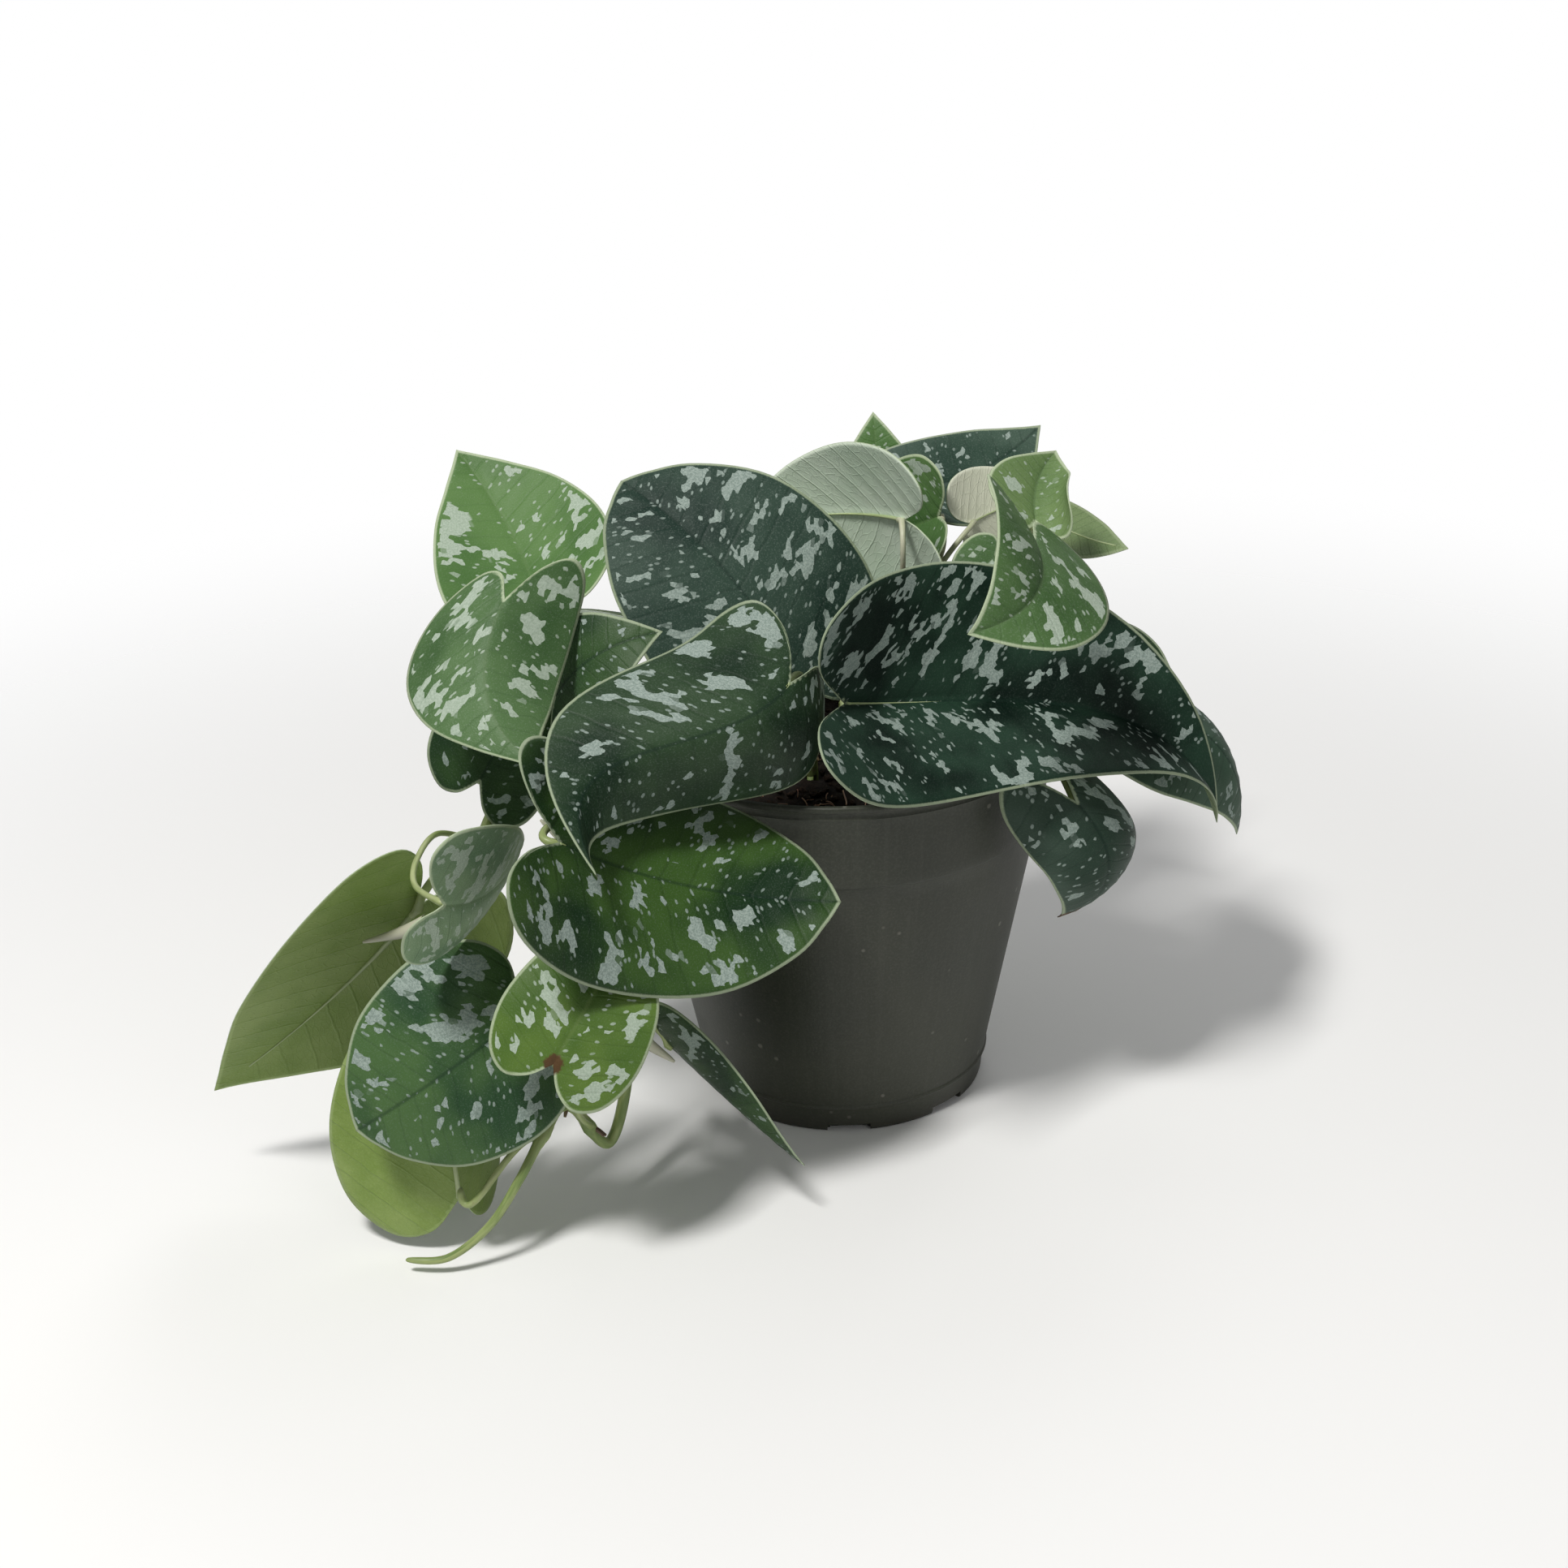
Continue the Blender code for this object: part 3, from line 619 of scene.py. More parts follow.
def leaf(name, vine, node, base, tip, look, seed, width, turn=0.0, bow=0.1, fold=0.1,
         curl=-0.1, dfold=0.0, dcurl=0.0, sweep=0.0, hook=0.0, veer=0.0, via=(), above=False,
         under=UNDER_GREEN, outline=HEART):
    """One blade, and the petiole that carries it from its node on a vine.

    The petiole meets the underside, or the upper side where above is set.
    """
    spec = {
        "base": Vector(base), "width": width, "bow": bow, "fold": fold, "curl": curl,
        "dfold": dfold, "dcurl": dcurl, "sweep": sweep, "hook": hook, "veer": veer,
        "seed": seed, "outline": outline, "axes": blade_axes(Vector(base), Vector(tip), turn),
    }
    length, along, up, side = spec["axes"]
    upper = upper_material(name + "_upper", look, seed, length)
    lower = under_material(name + "_under", under, seed, length)
    piece(name + "_blade", blade_mesh(spec), [upper, lower, rib_skin], [name])
    pitch = math.atan(bow * ARCH + hook * HOOK)
    normal = up * math.cos(pitch) - along * math.sin(pitch)
    forward = along * math.cos(pitch) + up * math.sin(pitch)
    normal = normal * math.cos(dfold) - side * math.sin(dfold)
    arrive = (forward * 0.8 + normal * 0.5).normalized()
    sign = -1.0 if above else 1.0
    end = blade_point(spec, 0.03, 0.0)[0] - normal * (0.9 * sign)
    inside = blade_point(spec, 0.12, 0.0)[0] - normal * (0.7 * sign)
    small = max(0.7, min(1.25, length / 80.0))
    petioles.setdefault(vine, []).append((Vector(node), end, inside, arrive, via, small))


# ---------------------------------------- stems

ROOT_Z = 80.0           # a stem starts this high, inside the soil
STEM_R = 2.1
NODE_SWELL = 0.55       # how much a stem thickens at a node, and along what length
NODE_LONG = 2.2
RING_SWELL = 0.12       # the thin ring beside each node
RING_OFF = 2.6
RING_LONG = 0.5
STEM_END_STEPS = 8.0    # route steps over which a stem rounds off to its tip
PETIOLE_STEPS = 28


def petiole_route(start, end, inside, arrive, via):
    """A rising bend from the node to the underside of the blade."""
    if via:
        line = catmull([start, *via, end], 12)
    else:
        span = (end - start).length
        leave = ((end - start).normalized() + Vector((0.0, 0.0, 0.8))).normalized()
        p1 = start + leave * span * 0.35
        p2 = end - arrive * span * 0.35
        line = []
        for i in range(PETIOLE_STEPS + 1):
            t = i / PETIOLE_STEPS
            u = 1.0 - t
            line.append(start * u ** 3 + p1 * 3 * u * u * t + p2 * 3 * u * t * t + end * t ** 3)
    return line + [end.lerp(inside, 0.5), inside]


def vine(name, points, tip_r=1.3):
    """A stem with swollen ringed nodes, its petioles and small aerial roots."""
    bm = bmesh.new()
    route = [Vector((points[0][0], points[0][1], ROOT_Z))] + catmull(points, 14)
    joints = [p[0] for p in petioles.get(name, [])]
    last = len(route) - 1

    def stem_radius(i):
        r = STEM_R + (tip_r - STEM_R) * i / last
        swell = sum(math.exp(-((route[i] - j).length / NODE_LONG) ** 2) for j in joints)
        ring = sum(math.exp(-(((route[i] - j).length - RING_OFF) / RING_LONG) ** 2)
                   for j in joints)
        to_end = min((last - i) / STEM_END_STEPS, 1.0)
        blunt = 0.25 + 0.75 * math.sqrt(to_end * (2.0 - to_end))
        return (r + NODE_SWELL * min(swell, 1.0) + RING_SWELL * ring) * blunt

    sweep_tube(bm, route, stem_radius, 0, 14)
    draw = random.Random(len(name) * 7 + len(joints))
    for start, end, inside, arrive, via, small in petioles.get(name, []):
        line = petiole_route(start, end, inside, arrive, via)
        count = len(line) - 1

        def stalk_radius(i, count=count, small=small):
            t = i / count
            foot = 0.75 * math.exp(-(t / 0.10) ** 2)
            knee = 0.22 * math.exp(-((t - 0.93) / 0.06) ** 2)
            return small * (1.08 + foot + knee) * (1.0 if t < 0.97 else 0.75)

        sweep_tube(bm, line, stalk_radius, 1, 12)
        for _ in range(draw.choice((1, 2))):
            angle = draw.uniform(0.0, 2.0 * math.pi)
            out = Vector((math.cos(angle), math.sin(angle), -0.5)).normalized()
            tip = start + out * draw.uniform(3.0, 4.6) + Vector((0.0, 0.0, -0.6))
            nub = catmull([start, start + out * 2.2, tip], 4)
            if min(p.z for p in nub) > 1.0:
                sweep_tube(bm, nub, lambda i: 0.75 - 0.05 * i, 2, 7)
    stalks = stalk_skins.get(name, stalk_skin)
    piece(name + "_stems", bm, [stem_skin, stalks, root_skin], [name])


stem_skin = stalk_material("stem_skin", (0.145, 0.215, 0.060), (0.300, 0.360, 0.140),
                           (0.160, 0.110, 0.055))
stalk_skin = stalk_material("stalk_skin", (0.230, 0.300, 0.100), (0.400, 0.450, 0.220),
                            (0.210, 0.180, 0.080))
rib_skin = stalk_material("rib_skin", (0.300, 0.380, 0.170), (0.430, 0.500, 0.280),
                          (0.250, 0.300, 0.140))
root_skin = stalk_material("root_skin", (0.090, 0.055, 0.030), (0.200, 0.140, 0.080),
                           (0.050, 0.030, 0.020))
pale_skin = stalk_material("pale_skin", (0.400, 0.430, 0.270), (0.560, 0.560, 0.420),
                           (0.480, 0.360, 0.280))
papery_skin = stalk_material("papery_skin", (0.430, 0.420, 0.310), (0.590, 0.590, 0.470),
                             (0.260, 0.220, 0.140))
stalk_skins = {"vine_back_right": pale_skin}


# ---------------------------------------- leaves

# front, over the rim
leaf("leaf_front_left_arching", "vine_centre", (-8, -17, 106), (-13, -64, 144), (-59, -111, 115),
     width=56, turn=-5, bow=0.15, fold=-0.3, curl=-0.6, dfold=0.1, dcurl=0.1, sweep=-0.3,
     hook=-0.25, veer=0.5, look=DARK_OLIVE, seed=1.7)
leaf("leaf_front_right_arching", "vine_centre", (-6, -24, 116), (1, -54, 134), (103, -17, 81),
     width=76, turn=-33, bow=-0.25, fold=0.5, curl=-0.25, dcurl=-0.05, sweep=-0.1, hook=0.3,
     veer=-0.05, via=((7, -36, 119), (6, -46, 127)), look=DARK, seed=2.3)
leaf("leaf_centre_large", "vine_centre", (-7, -19, 110), (-11, -15, 125), (-57, 12, 174), width=64,
     turn=11, fold=0.05, curl=-0.15, sweep=0.05, outline=ROUND, look=DARK_BLUE, under=UNDER_PALE,
     seed=3.1)
leaf("leaf_front_rim_hanging", "vine_left_trailing", (-60, -60, 107), (-69, -93, 116),
     (-2, -75, 89), width=60, turn=-27, bow=-0.13, fold=0.05, curl=-0.45, outline=ROUND,
     look=RIM_GREEN, seed=4.9)

# upper left
leaf("leaf_upper_left", "vine_left_upper", (-62, -9, 119), (-80, -6, 149), (-103, 30, 179),
     width=50, turn=13, bow=-0.05, fold=0.15, curl=0.1, sweep=0.05, look=LIGHT_GREEN,
     under=UNDER_PALE, seed=5.3)
leaf("leaf_left_heart", "vine_left_upper", (-60, -9, 119), (-84, -42, 160), (-75, -73, 127),
     width=46, turn=-9, bow=-0.01, fold=-0.3, curl=-0.25, sweep=0.15, veer=0.05,
     via=((-74, -18, 142), (-83, -32, 154)), look=MID, under=UNDER_PALE, seed=6.1)
leaf("leaf_left_inner", "vine_left_upper", (-52, -7, 118), (-74, -35, 130), (-45, -39, 149),
     width=30, turn=-19, bow=0.15, curl=-0.2, sweep=-0.05, look=DARK_GREEN, seed=7.9)
leaf("leaf_left_under", "vine_left_upper", (-88, -15, 103), (-96, -30, 105), (-76, -16, 129),
     width=35, turn=12, bow=0.11, fold=0.05, dfold=0.05, sweep=-0.05, look=DARK_GREEN, seed=8.2)
leaf("leaf_left_small_heart", "vine_left_upper", (-96, -40, 92), (-96, -105, 106), (-81, -65, 104),
     width=45, turn=63, bow=0.06, fold=0.0, curl=-0.3, dfold=-0.1, dcurl=-0.25, sweep=0.1,
     via=((-103, -62, 105), (-106, -80, 106), (-105, -90, 104)), look=BLUE_GREEN, under=UNDER_PALE,
     seed=9.4)
leaf("leaf_far_left_reversed", "vine_left_upper", (-97, -50, 94), (-110, -61, 85), (-171, -53, 27),
     width=64, turn=133, bow=0.01, fold=-0.1, curl=-0.35, sweep=0.05,
     via=((-101, -62, 97), (-107, -66, 91)), look=MID, under=UNDER_YELLOW_PAINTED_BACKLIGHT, seed=10.6)

# lower left
leaf("leaf_low_left_reversed", "vine_left_trailing", (-79, -90, 33), (-101, -94, 18),
     (-108, -80, 82), width=69, turn=200, bow=-0.04, fold=0.7, curl=0.25, dfold=-0.15, look=MID,
     under=UNDER_YELLOW_PAINTED_BACKLIGHT, seed=11.8)
leaf("leaf_low_left_arching", "vine_left_trailing", (-73, -82, 37), (-85, -90, 65),
     (-124, -100, 42), width=54, turn=-8, fold=-0.05, curl=-0.2, outline=ROUND, look=DARK_BARS,
     seed=12.5)
leaf("leaf_low_left_pale", "vine_left_trailing", (-68, -77, 27), (-73, -108, 64), (-55, -84, 86),
     width=37, turn=2, bow=0.12, fold=0.0, curl=-0.2, outline=ROUND, via=((-70, -88, 38),),
     look=YELLOW_GREEN, under=UNDER_YELLOW_PAINTED_BACKLIGHT, seed=13.7)
leaf("leaf_floor_narrow", "vine_left_trailing", (-58, -65, 50), (-48, -61, 42), (-13, -83, 17),
     width=41, turn=75, bow=0.01, fold=-0.15, curl=-0.2, above=True, look=DARK_GREEN, seed=14.3)

# upper right
leaf("leaf_right_heart", "vine_right", (53, -11, 161), (48, -45, 173), (29, -78, 160), width=40,
     turn=-40, bow=0.2, fold=0.25, curl=-0.2, dfold=-0.35, dcurl=-0.15, sweep=-0.1, look=MID_RIGHT,
     under=UNDER_PALE, seed=15.9)
leaf("leaf_right_young_rolled", "vine_right", (50, -15, 165), (51, -23, 170), (58, -6, 184),
     width=28, turn=9, bow=-0.04, fold=0.2, curl=0.9, dfold=-0.1, sweep=-0.1, dcurl=1.2,
     look=YOUNG, under=UNDER_PALE, seed=16.4)
leaf("leaf_right_inner", "vine_right", (30, 2, 118), (44, 6, 152), (31, -2, 138), width=18,
     turn=19, bow=0.12, fold=0.15, curl=-0.05, look=MID, under=UNDER_PALE, seed=17.2)
leaf("leaf_centre_reversed", "vine_back_right", (18, 14, 114), (19, -4, 166), (-31, 20, 157),
     width=46, turn=142, bow=0.18, fold=0.0, sweep=0.05, look=MID, under=UNDER_PALE, seed=18.8)
leaf("leaf_centre_narrow", "vine_back_right", (22, 13, 132), (29, 17, 160), (2, 39, 145), width=38,
     turn=12, bow=-0.07, fold=0.3, curl=0.1, via=((30, 17, 150),), look=LIGHT_GREEN, seed=19.6)
leaf("leaf_right_reversed", "vine_back_right", (27, 14, 142), (38, 22, 156), (63, 35, 162),
     width=28, turn=191, bow=0.13, look=MID, under=UNDER_BEIGE, seed=20.3)
leaf("leaf_right_pointed", "vine_back_right", (24, 13, 136), (58, 13, 159), (79, 2, 154), width=19,
     turn=147, bow=0.07, fold=0.05, curl=-0.25, above=True, via=((40, 14, 144), (50, 17, 152)),
     look=MID, seed=21.1)
leaf("leaf_back_right_dark", "vine_back", (4, 48, 117), (27, 46, 160), (62, 64, 172), width=38,
     turn=-31, bow=-0.07, fold=0.05, curl=-0.15, sweep=0.05, look=DARK_TEAL, under=UNDER_PALE,
     seed=22.7)
leaf("leaf_back_upright", "vine_back", (0, 38, 118), (16, 70, 143), (14, 77, 174), width=25,
     turn=-4, look=LIGHT_GREEN, seed=23.5)

# right
leaf("leaf_right_shoulder", "vine_right_low", (48, 6, 112), (72, 12, 123), (94, 2, 113), width=21,
     turn=-31, look=DARK_GREEN, seed=24.9)
leaf("leaf_right_drooping", "vine_right_low", (57, 5, 116), (84, 8, 108), (114, 9, 65), width=46,
     turn=-51, bow=0.23, fold=-0.25, curl=-0.45, dfold=-0.05, look=DARK_GREY_PAINTED_LIT, seed=25.4)
leaf("leaf_rim_right_hanging", "vine_right_low", (45, 6, 111), (60, -47, 102), (57, -38, 64),
     width=40, turn=-38, bow=0.25, fold=-0.05, curl=-0.9, dfold=-0.05, sweep=-0.15,
     via=((52, -24, 113),), look=DARK_TIP_PAINTED_LIT, seed=26.2)

# back
leaf("leaf_back_left", "vine_back", (-6, 26, 112), (-46, 30, 126), (-90, 48, 110), width=48,
     turn=95, bow=0.12, look=MID, under=UNDER_PALE, seed=27.6)
leaf("leaf_back_centre", "vine_back", (-3, 33, 116), (-16, 52, 136), (-20, 96, 120), width=44,
     turn=5, bow=0.15, look=DARK_BLUE, under=UNDER_PALE, seed=28.1)
leaf("leaf_back_right", "vine_back", (1, 40, 118), (38, 44, 128), (84, 62, 112), width=46,
     turn=-95, bow=0.14, look=MID, under=UNDER_PALE, seed=29.3)
leaf("leaf_back_rim_hanging", "vine_back", (10, 60, 114), (12, 74, 108), (-6, 84, 48), width=50,
     turn=175, look=DARK, under=UNDER_PALE, seed=30.8)


# ---------------------------------------- vines

vine("vine_centre", [(-8, -14, 98), (-8, -17, 106), (-7, -21, 113), (-5, -27, 119)])
vine("vine_left_trailing",
     [(-28, -18, 98), (-35, -26, 106), (-47, -43, 112), (-60, -60, 107), (-59, -66, 78),
      (-58, -64, 42), (-64, -72, 19), (-73, -82, 37), (-79, -90, 33), (-85, -96, 24),
      (-93, -100, 13), (-104, -102, 5), (-115, -101, 4)], 0.9)
vine("vine_left_upper",
     [(-32, 2, 98), (-42, -4, 114), (-58, -8, 119), (-80, -12, 114), (-88, -15, 103),
      (-94, -26, 94), (-96, -40, 92), (-97, -50, 94)])
vine("vine_right",
     [(20, -2, 98), (30, 2, 118), (46, 2, 136), (54, -5, 152), (50, -15, 165)])
vine("vine_back_right",
     [(16, 14, 98), (18, 14, 118), (22, 13, 132), (27, 14, 142)])
vine("vine_right_low",
     [(36, 6, 98), (43, 6, 109), (53, 5, 115), (62, 6, 116)])
vine("vine_back",
     [(-6, 22, 98), (-6, 27, 112), (0, 38, 118), (10, 60, 114), (12, 68, 110)])


# ---------------------------------------- dried sheaths

SHEATH_ARC = math.radians(210.0)
SHEATH_SIDES = 7
SHEATH_SKIN = 0.18


def sheath(name, points, radius):
    """A papery bract left on a stem node: a half-rolled strip that narrows to a curled tip."""
    route = catmull(points, 5)
    bm = bmesh.new()
    last = len(route) - 1
    rows = []
    for i, p in enumerate(route):
        ahead = (route[min(i + 1, last)] - route[max(i - 1, 0)]).normalized()
        out = (LIGHT - ahead * LIGHT.dot(ahead)).normalized()
        side = ahead.cross(out)
        wide = radius * (1.0 - 0.85 * (i / last) ** 1.5)
        row = []
        for s in range(SHEATH_SIDES):
            angle = SHEATH_ARC * (s / (SHEATH_SIDES - 1) - 0.5)
            reach = out * math.cos(angle) * wide + side * math.sin(angle) * wide
            row.append(bm.verts.new((p + reach) * MM))
        rows.append(row)
    for a, b in zip(rows, rows[1:]):
        for s in range(SHEATH_SIDES - 1):
            bm.faces.new((a[s], a[s + 1], b[s + 1], b[s]))
    bm.normal_update()
    bmesh.ops.solidify(bm, geom=bm.faces[:], thickness=SHEATH_SKIN * MM)
    bmesh.ops.recalc_face_normals(bm, faces=bm.faces)
    piece(name, bm, [papery_skin], ())


sheath("sheath_left", [(-106, -74, 86), (-111, -72, 83), (-117, -69, 80), (-124, -66, 77)], 2.2)
sheath("sheath_upper", [(-70, -61, 100), (-73, -62, 104), (-77, -62, 108)], 1.9)
sheath("sheath_low", [(-58, -68, 52), (-53, -69, 47), (-46, -69, 41)], 2.4)


# ---------------------------------------- pot

POT_STEPS = 160
RIM_R = 60.0
RIM_TOP = 107.8
BAND_Z = 83.0
BAND_R = 56.4
FOOT_Z = 8.4
FOOT_R = 41.3
BASE_R = 40.0
WALL = 1.2
FLOOR = 1.6
LIP_OVER = 1.3          # how far the lip stands out past the wall below it
BAND_OVER = 0.8         # the same for the band
SLOTS = 8
SLOT_SIZE = (8.0, 12.0, 4.6)
SLOT_ROUND = 0.8

# (radius, height) steps of the outside, from the rim, the band, the foot line and the base
LIP_STEPS = (
    (-1.75, -0.25), (-1.35, -0.02), (-0.75, 0.0), (-0.30, -0.12), (-0.04, -0.45),
    (0.0, -0.95), (-0.05, -1.45), (-0.30, -1.85), (-0.85, -2.15), (-1.00, -2.55),
    (-0.98, -3.60), (-0.80, -3.90), (-0.95, -4.30),
)
BAND_STEPS = ((0.10, 0.55), (-0.05, 0.15), (-0.45, -0.20), (-0.75, -0.55))
FOOT_STEPS = ((0.0, 0.7), (0.30, 0.25), (0.30, -0.15), (-0.20, -0.60), (-0.35, -1.2))
BASE_STEPS = ((0.35, 4.0), (0.05, 1.2), (-0.25, 0.35), (-0.75, 0.02), (-1.6, 0.0))
FLOOR_RINGS = (28.0, 14.0, 4.0)


def inner_r(z):
    """Inside radius of the pot wall at height z."""
    low = BASE_R - WALL
    high = BAND_R - BAND_OVER - WALL
    if z <= BAND_Z:
        return low + (high - low) * z / BAND_Z
    return high + (RIM_R - LIP_OVER - WALL - high) * (z - BAND_Z) / (RIM_TOP - BAND_Z)


def pot_material():
    """Matte olive-grey plastic with dust specks, faint scuffs, moulding flow and painted shade
    towards the foot.
    """
    net = Net("pot_plastic", Specular_IOR_Level=0.38)
    place = net.place()
    x, y, z = net.split(place)
    broad = net.noise(place, 14.0, 3.0, 0.55)
    body = net.mix(net.step(broad, 0.35, 0.65), (0.028, 0.032, 0.022), (0.040, 0.043, 0.030))
    grain = net.noise(place, 1500.0, 2.0, 0.6)
    body = net.mix(net.step(grain, 0.40, 0.75, 0.0, 0.25), body, (0.085, 0.088, 0.070))
    turn = net.math("ARCTAN2", y, x)
    flow = net.noise(net.vector(net.times(turn, 22.0), net.times(z, 9.0)), 1.0, 3.0, 0.6)
    body = net.mix(net.step(flow, 0.45, 0.80, 0.0, 0.22), body, (0.068, 0.071, 0.055))
    speck = net.cells(place, dims="3D", scale=210.0)
    dust = net.times(net.step(net.split(speck["Color"])[0], 0.86, 0.88),
                     net.step(speck["Distance"], 0.10, 0.20, 1.0, 0.0))
    body = net.tint(body, dust, 0.55, (0.190, 0.186, 0.155))
    scuff = net.noise(net.vector(net.times(turn, 9.0), net.times(z, 420.0)), 1.0, 4.0, 0.7)
    scuff = net.times(net.step(scuff, 0.66, 0.74), net.step(broad, 0.5, 0.62))
    body = net.tint(body, scuff, 0.30, (0.130, 0.130, 0.108))
    # painted shade: the lowest 10 mm of the foot mixed towards a darker colour
    net.colour(net.mix(net.step(z, 0.0, 0.010, 0.35, 0.0), body, (0.030, 0.028, 0.022)))
    net.rough(net.times_add(broad, 0.20, 0.40))
    height = net.times_add(grain, 0.6, net.times(flow, 0.5))
    net.bump(net.math("ADD", height, net.times(dust, 1.2)), 0.30, 0.0002)
    return net.mat


def steps_from(r, z, steps):
    return [(r + out, z + up) for out, up in steps]


def between(start, end, parts):
    """Points that divide a straight wall into this many parts, its ends left out."""
    return [(start[0] + (end[0] - start[0]) * (i / parts),
             start[1] + (end[1] - start[1]) * (i / parts)) for i in range(1, parts)]


def pot_profile():
    """The pot's outside from the lip to the floor's middle, and its inside back up."""
    outer = steps_from(RIM_R, RIM_TOP, LIP_STEPS)
    outer += between((RIM_R - 1.05, RIM_TOP - 4.8), (BAND_R + 0.15, BAND_Z + 1.0), 9)
    outer += steps_from(BAND_R, BAND_Z, BAND_STEPS)
    outer += between((BAND_R - 0.85, BAND_Z - 1.2), (FOOT_R - 0.05, FOOT_Z + 1.2), 16)
    outer += steps_from(FOOT_R, FOOT_Z, FOOT_STEPS)
    outer += steps_from(BASE_R, 0.0, BASE_STEPS)
    outer += [(r, 0.0) for r in FLOOR_RINGS]
    inner = [(r, FLOOR) for r in reversed(FLOOR_RINGS)]
    inner += [(inner_r(FLOOR) - 0.8, FLOOR), (inner_r(FLOOR), FLOOR + 0.8)]
    for i in range(1, 9):
        z = FLOOR + 0.8 + (RIM_TOP - 2.4 - FLOOR) * i / 8.0
        inner.append((inner_r(z), z))
    return outer, inner


def uneven(r, z, angle):
    """Radius of a thin pot that is a little out of round towards its rim."""
    warp = 0.22 * math.sin(2.0 * angle + 0.7) + 0.10 * math.sin(5.0 * angle + 2.0)
    return r + warp * (z / RIM_TOP) ** 2


def pot_mesh():
    """The profile turned about Z, with a disc across the floor inside and out."""
    outer, inner = pot_profile()
    profile = outer + inner
    last = len(profile) - 1
    bm = bmesh.new()
    rings = []
    for s in range(POT_STEPS):
        angle = 2.0 * math.pi * s / POT_STEPS
        ring = []
        for r, z in profile:
            r = uneven(r, z, angle)
            ring.append(bm.verts.new((r * math.cos(angle) * MM, r * math.sin(angle) * MM, z * MM)))
        rings.append(ring)
    for s in range(POT_STEPS):
        a, b = rings[s], rings[(s + 1) % POT_STEPS]
        for i in range(last):
            if i != len(outer) - 1:
                bm.faces.new((a[i], a[i + 1], b[i + 1], b[i]))
    for s in range(POT_STEPS):
        a, b = rings[s], rings[(s + 1) % POT_STEPS]
        bm.faces.new((a[last], a[0], b[0], b[last]))
    bm.faces.new([ring[len(outer) - 1] for ring in reversed(rings)])
    bm.faces.new([ring[len(outer)] for ring in rings])
    bmesh.ops.recalc_face_normals(bm, faces=bm.faces)
    return bm


def slot_cutter():
    """Eight round-cornered blocks where the drainage slots go."""
    bm = bmesh.new()
    for i in range(SLOTS):
        angle = math.radians(-90.0 + 360.0 / SLOTS * i)
        made = bmesh.ops.create_cube(bm, size=1.0)["verts"]
        bmesh.ops.scale(bm, vec=Vector(SLOT_SIZE) * MM, verts=made)
        place = Matrix.Rotation(angle, 4, "Z") @ Matrix.Translation(((BASE_R + 0.6) * MM, 0.0, 0.0))
        bmesh.ops.transform(bm, matrix=place, verts=made)
    upright = [e for e in bm.edges if abs(e.verts[0].co.z - e.verts[1].co.z) > MM]
    bmesh.ops.bevel(bm, geom=upright, offset=SLOT_ROUND * MM, segments=3, affect="EDGES")
    mesh = bpy.data.meshes.new("slot_cutter")
    bm.to_mesh(mesh)
    bm.free()
    cutter = bpy.data.objects.new("slot_cutter", mesh)
    bpy.context.scene.collection.objects.link(cutter)
    return cutter


def build_pot():
    """Thin tapered wall, double lip, top band, foot line and drainage slots."""
    pot = piece("nursery_pot", pot_mesh(), [pot_material()], ["pot"])
    cutter = slot_cutter()
    cut = pot.modifiers.new("slots", "BOOLEAN")
    cut.operation = "DIFFERENCE"
    cut.solver = "EXACT"
    cut.object = cutter
    depsgraph = bpy.context.evaluated_depsgraph_get()
    final = bpy.data.meshes.new_from_object(pot.evaluated_get(depsgraph))
    pot.modifiers.clear()
    old = pot.data
    pot.data = final
    bpy.data.meshes.remove(old)
    bpy.data.objects.remove(cutter, do_unlink=True)
    pot.data.shade_smooth()
    pot.data.set_sharp_from_angle(angle=math.radians(40.0))


# ---------------------------------------- soil

SOIL_EDGE_Z = 94.5
SOIL_MOUND_Z = 97.5
SOIL_BASE_Z = 78.0
SOIL_RINGS = 36
SOIL_SIDES = 120
CRUMBS = 620
FIBRES = 170
SOIL_SEED = 11


def soil_material(name, low, high):
    """Dark crumbly mix, paler where dry."""
    net = Net(name, roughness=0.92, Specular_IOR_Level=0.2)
    place = net.place()
    crumb = net.noise(place, 700.0, 4.0, 0.7)
    damp = net.noise(place, 90.0, 3.0, 0.6)
    body = net.mix(net.step(crumb, 0.38, 0.68), low, high)
    net.colour(net.mix(net.step(damp, 0.35, 0.65, 0.0, 0.5), body, low))
    net.bump(crumb, 0.8, 0.0006)
    return net.mat


def soil_height(x, y):
    """Top of the potting mix in mm at a place on it."""
    r = math.hypot(x, y)
    edge = inner_r(SOIL_EDGE_Z)
    dome = SOIL_MOUND_Z - (SOIL_MOUND_Z - SOIL_EDGE_Z) * (r / edge) ** 2
    rough = math.sin(x * 0.55 + 1.3) * math.cos(y * 0.47 + 0.4) * 0.7
    rough += math.sin(x * 1.7 + y * 1.1) * 0.35 + math.cos(x * 2.9 - y * 2.3) * 0.22
    return dome + rough - 0.4


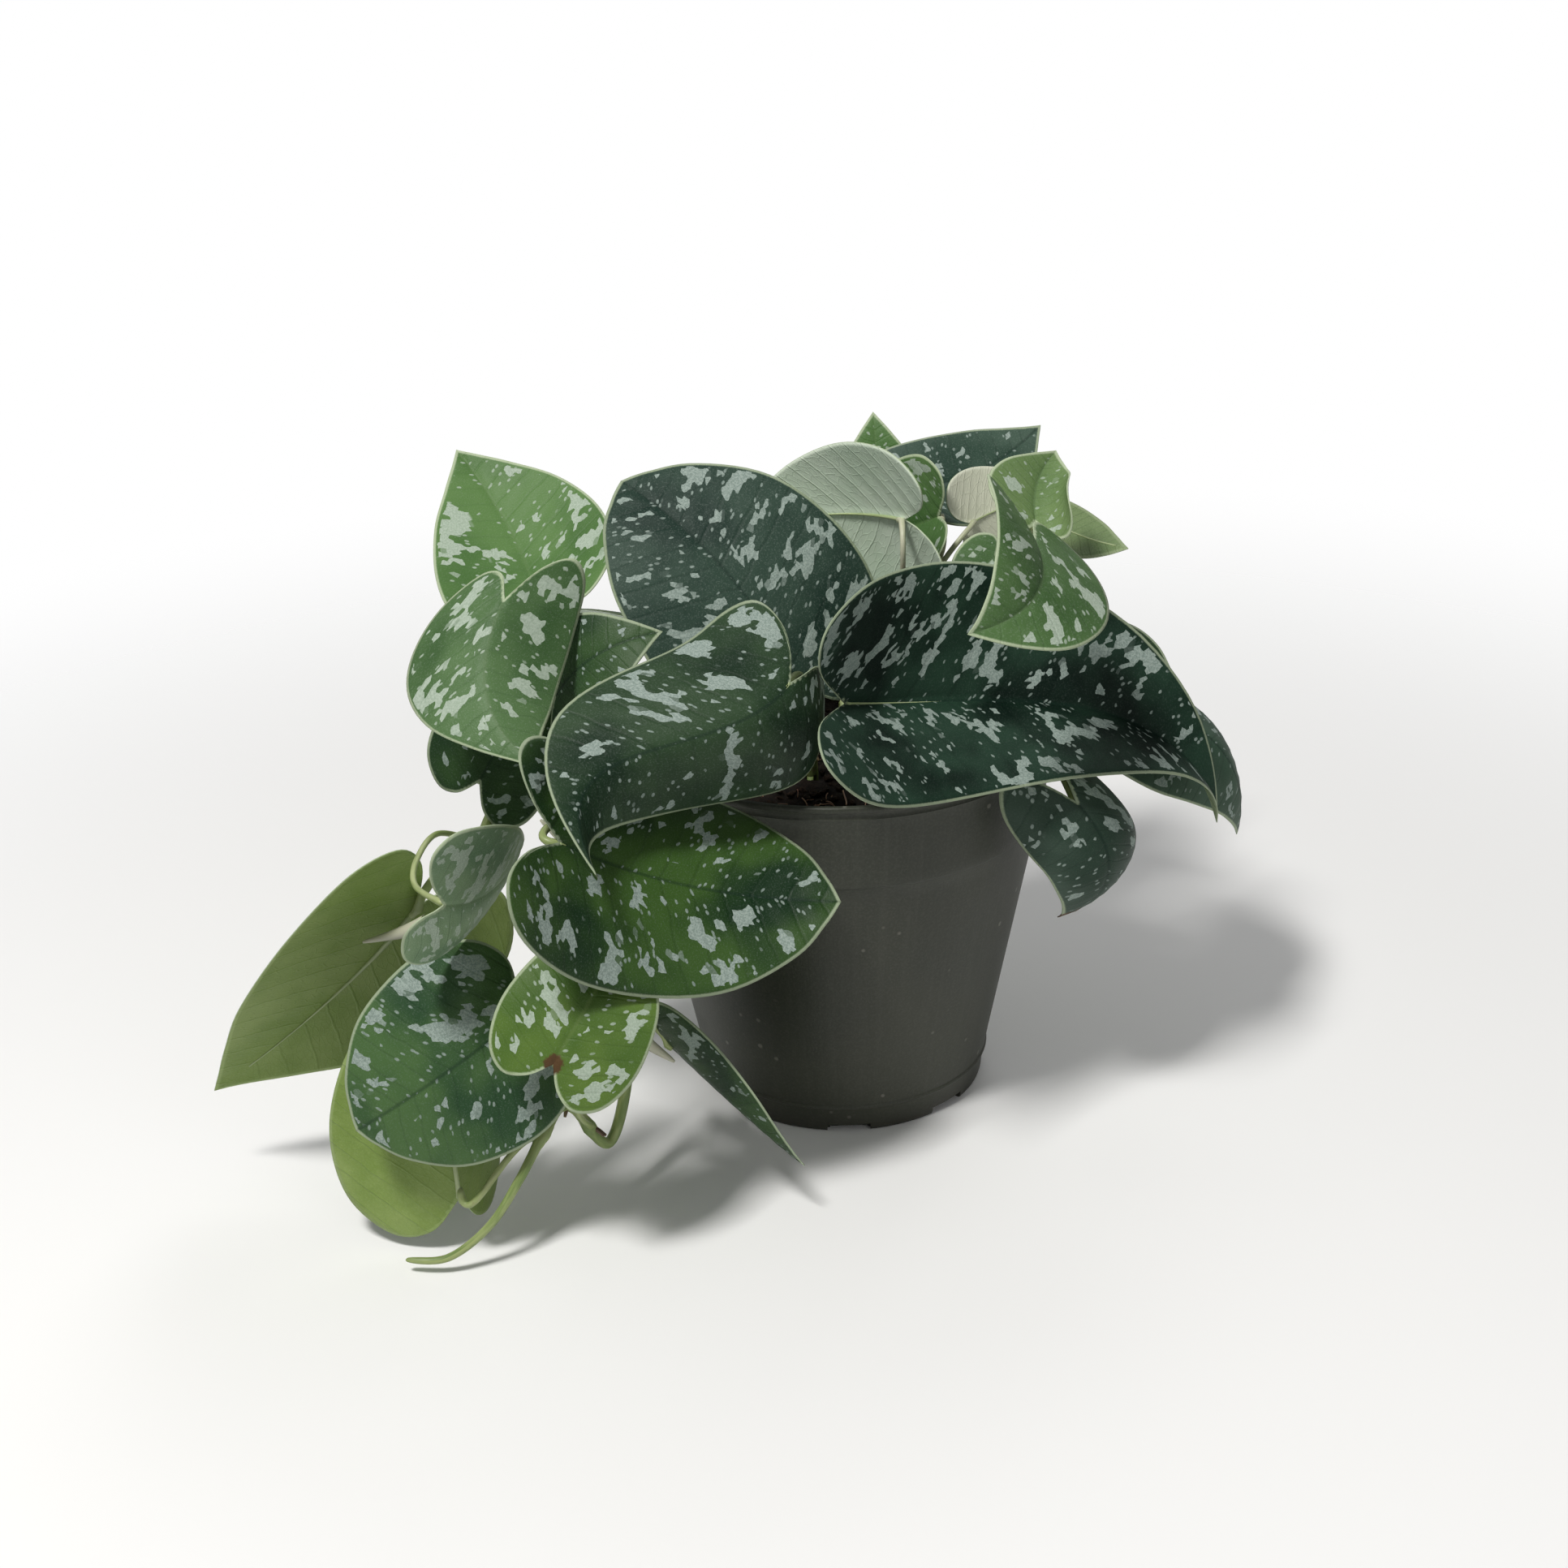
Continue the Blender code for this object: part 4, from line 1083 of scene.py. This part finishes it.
def build_surface(draw, edge):
    """One closed body: uneven top, wall and flat bottom."""
    bm = bmesh.new()
    turns = [2.0 * math.pi * s / SOIL_SIDES for s in range(SOIL_SIDES)]
    rings = []
    for a in range(1, SOIL_RINGS + 1):
        r = edge * a / SOIL_RINGS
        ring = []
        for angle in turns:
            jit = draw.uniform(-0.35, 0.35)
            x, y = r * math.cos(angle), r * math.sin(angle)
            ring.append(bm.verts.new((x * MM, y * MM, (soil_height(x, y) + jit) * MM)))
        rings.append(ring)
    centre = bm.verts.new((0.0, 0.0, soil_height(0.0, 0.0) * MM))
    r = inner_r(SOIL_BASE_Z) - 0.4
    rings.append([bm.verts.new((r * math.cos(angle) * MM, r * math.sin(angle) * MM,
                                SOIL_BASE_Z * MM)) for angle in turns])
    for s in range(SOIL_SIDES):
        n = (s + 1) % SOIL_SIDES
        bm.faces.new((centre, rings[0][s], rings[0][n]))
        for a, b in zip(rings, rings[1:]):
            bm.faces.new((a[s], b[s], b[n], a[n]))
    bm.faces.new(rings[-1][::-1])
    dark = soil_material("soil_dark", (0.0065, 0.0045, 0.0035), (0.030, 0.019, 0.013))
    piece("soil_surface", bm, [dark], ["soil"])


def build_crumbs(draw, edge):
    """Loose crumbs of many sizes, half sunk in the surface."""
    bm = bmesh.new()
    for _ in range(CRUMBS):
        angle = draw.uniform(0.0, 2.0 * math.pi)
        r = edge * math.sqrt(draw.uniform(0.0, 0.985)) - 0.8
        x, y = r * math.cos(angle), r * math.sin(angle)
        size = draw.choice((0.5, 0.7, 0.9, 1.2, 1.7))
        made = bmesh.ops.create_icosphere(bm, subdivisions=1, radius=size * MM)["verts"]
        squash = Vector((draw.uniform(0.7, 1.5), draw.uniform(0.6, 1.2), draw.uniform(0.45, 0.9)))
        for v in made:
            v.co = v.co * squash * draw.uniform(0.78, 1.22)
            v.co.x *= squash.x
        turn = Matrix.Rotation(draw.uniform(0.0, 6.28), 4, "Z")
        turn = turn @ Matrix.Rotation(draw.uniform(-0.6, 0.6), 4, "X")
        spot = Vector((x, y, soil_height(x, y) + size * 0.35)) * MM
        bmesh.ops.transform(bm, matrix=Matrix.Translation(spot) @ turn, verts=made)
    brown = soil_material("soil_crumb", (0.009, 0.006, 0.0045), (0.050, 0.028, 0.018))
    crumbs = piece("soil_crumbs", bm, [brown], ())
    crumbs.data.shade_flat()


def build_fibres(draw, edge):
    """Bent coir fibres lying on the surface."""
    bm = bmesh.new()
    for _ in range(FIBRES):
        angle = draw.uniform(0.0, 2.0 * math.pi)
        r = (edge - 5.0) * math.sqrt(draw.uniform(0.0, 1.0))
        x, y = r * math.cos(angle), r * math.sin(angle)
        head = draw.uniform(0.0, 2.0 * math.pi)
        reach = draw.uniform(2.5, 7.0)
        line = []
        for _ in range(4):
            head += draw.uniform(-0.6, 0.6)
            line.append((x, y, soil_height(x, y) + draw.uniform(0.3, 1.5)))
            x += math.cos(head) * reach / 3.0
            y += math.sin(head) * reach / 3.0
            if math.hypot(x, y) > edge - 1.5:
                break
        if len(line) > 2:
            thick = draw.uniform(0.10, 0.24)
            sweep_tube(bm, catmull(line, 4), lambda i, thick=thick: thick, 0, 5)
    fibre = stalk_material("coir", (0.300, 0.150, 0.095), (0.480, 0.290, 0.200),
                           (0.140, 0.070, 0.045))
    piece("coir_fibres", bm, [fibre], ())


build_pot()
soil_draw = random.Random(SOIL_SEED)
soil_edge = inner_r(SOIL_EDGE_Z) - 0.2
build_surface(soil_draw, soil_edge)
build_crumbs(soil_draw, soil_edge)
build_fibres(soil_draw, soil_edge)


# ---------------------------------------- floor

FADE_NEAR = 0.18        # the floor fades into the backdrop between these, in metres
FADE_FAR = 0.62


def build_floor():
    bm = bmesh.new()
    bmesh.ops.create_grid(bm, x_segments=1, y_segments=1, size=1.6)
    mesh = bpy.data.meshes.new("studio_floor")
    bm.to_mesh(mesh)
    bm.free()
    floor = bpy.data.objects.new("studio_floor", mesh)
    net = Net("floor_paint", roughness=0.9, Specular_IOR_Level=0.1)
    net.colour((0.93, 0.93, 0.925))
    x, y, _ = net.split(net.place())
    far = net.math("SQRT", net.math("ADD", net.times(x, x), net.times(y, y)))
    net.put(net.bsdf.inputs["Alpha"], net.step(far, FADE_NEAR, FADE_FAR, 1.0, 0.0))
    mesh.materials.append(net.mat)
    bpy.context.scene.collection.objects.link(floor)


build_floor()
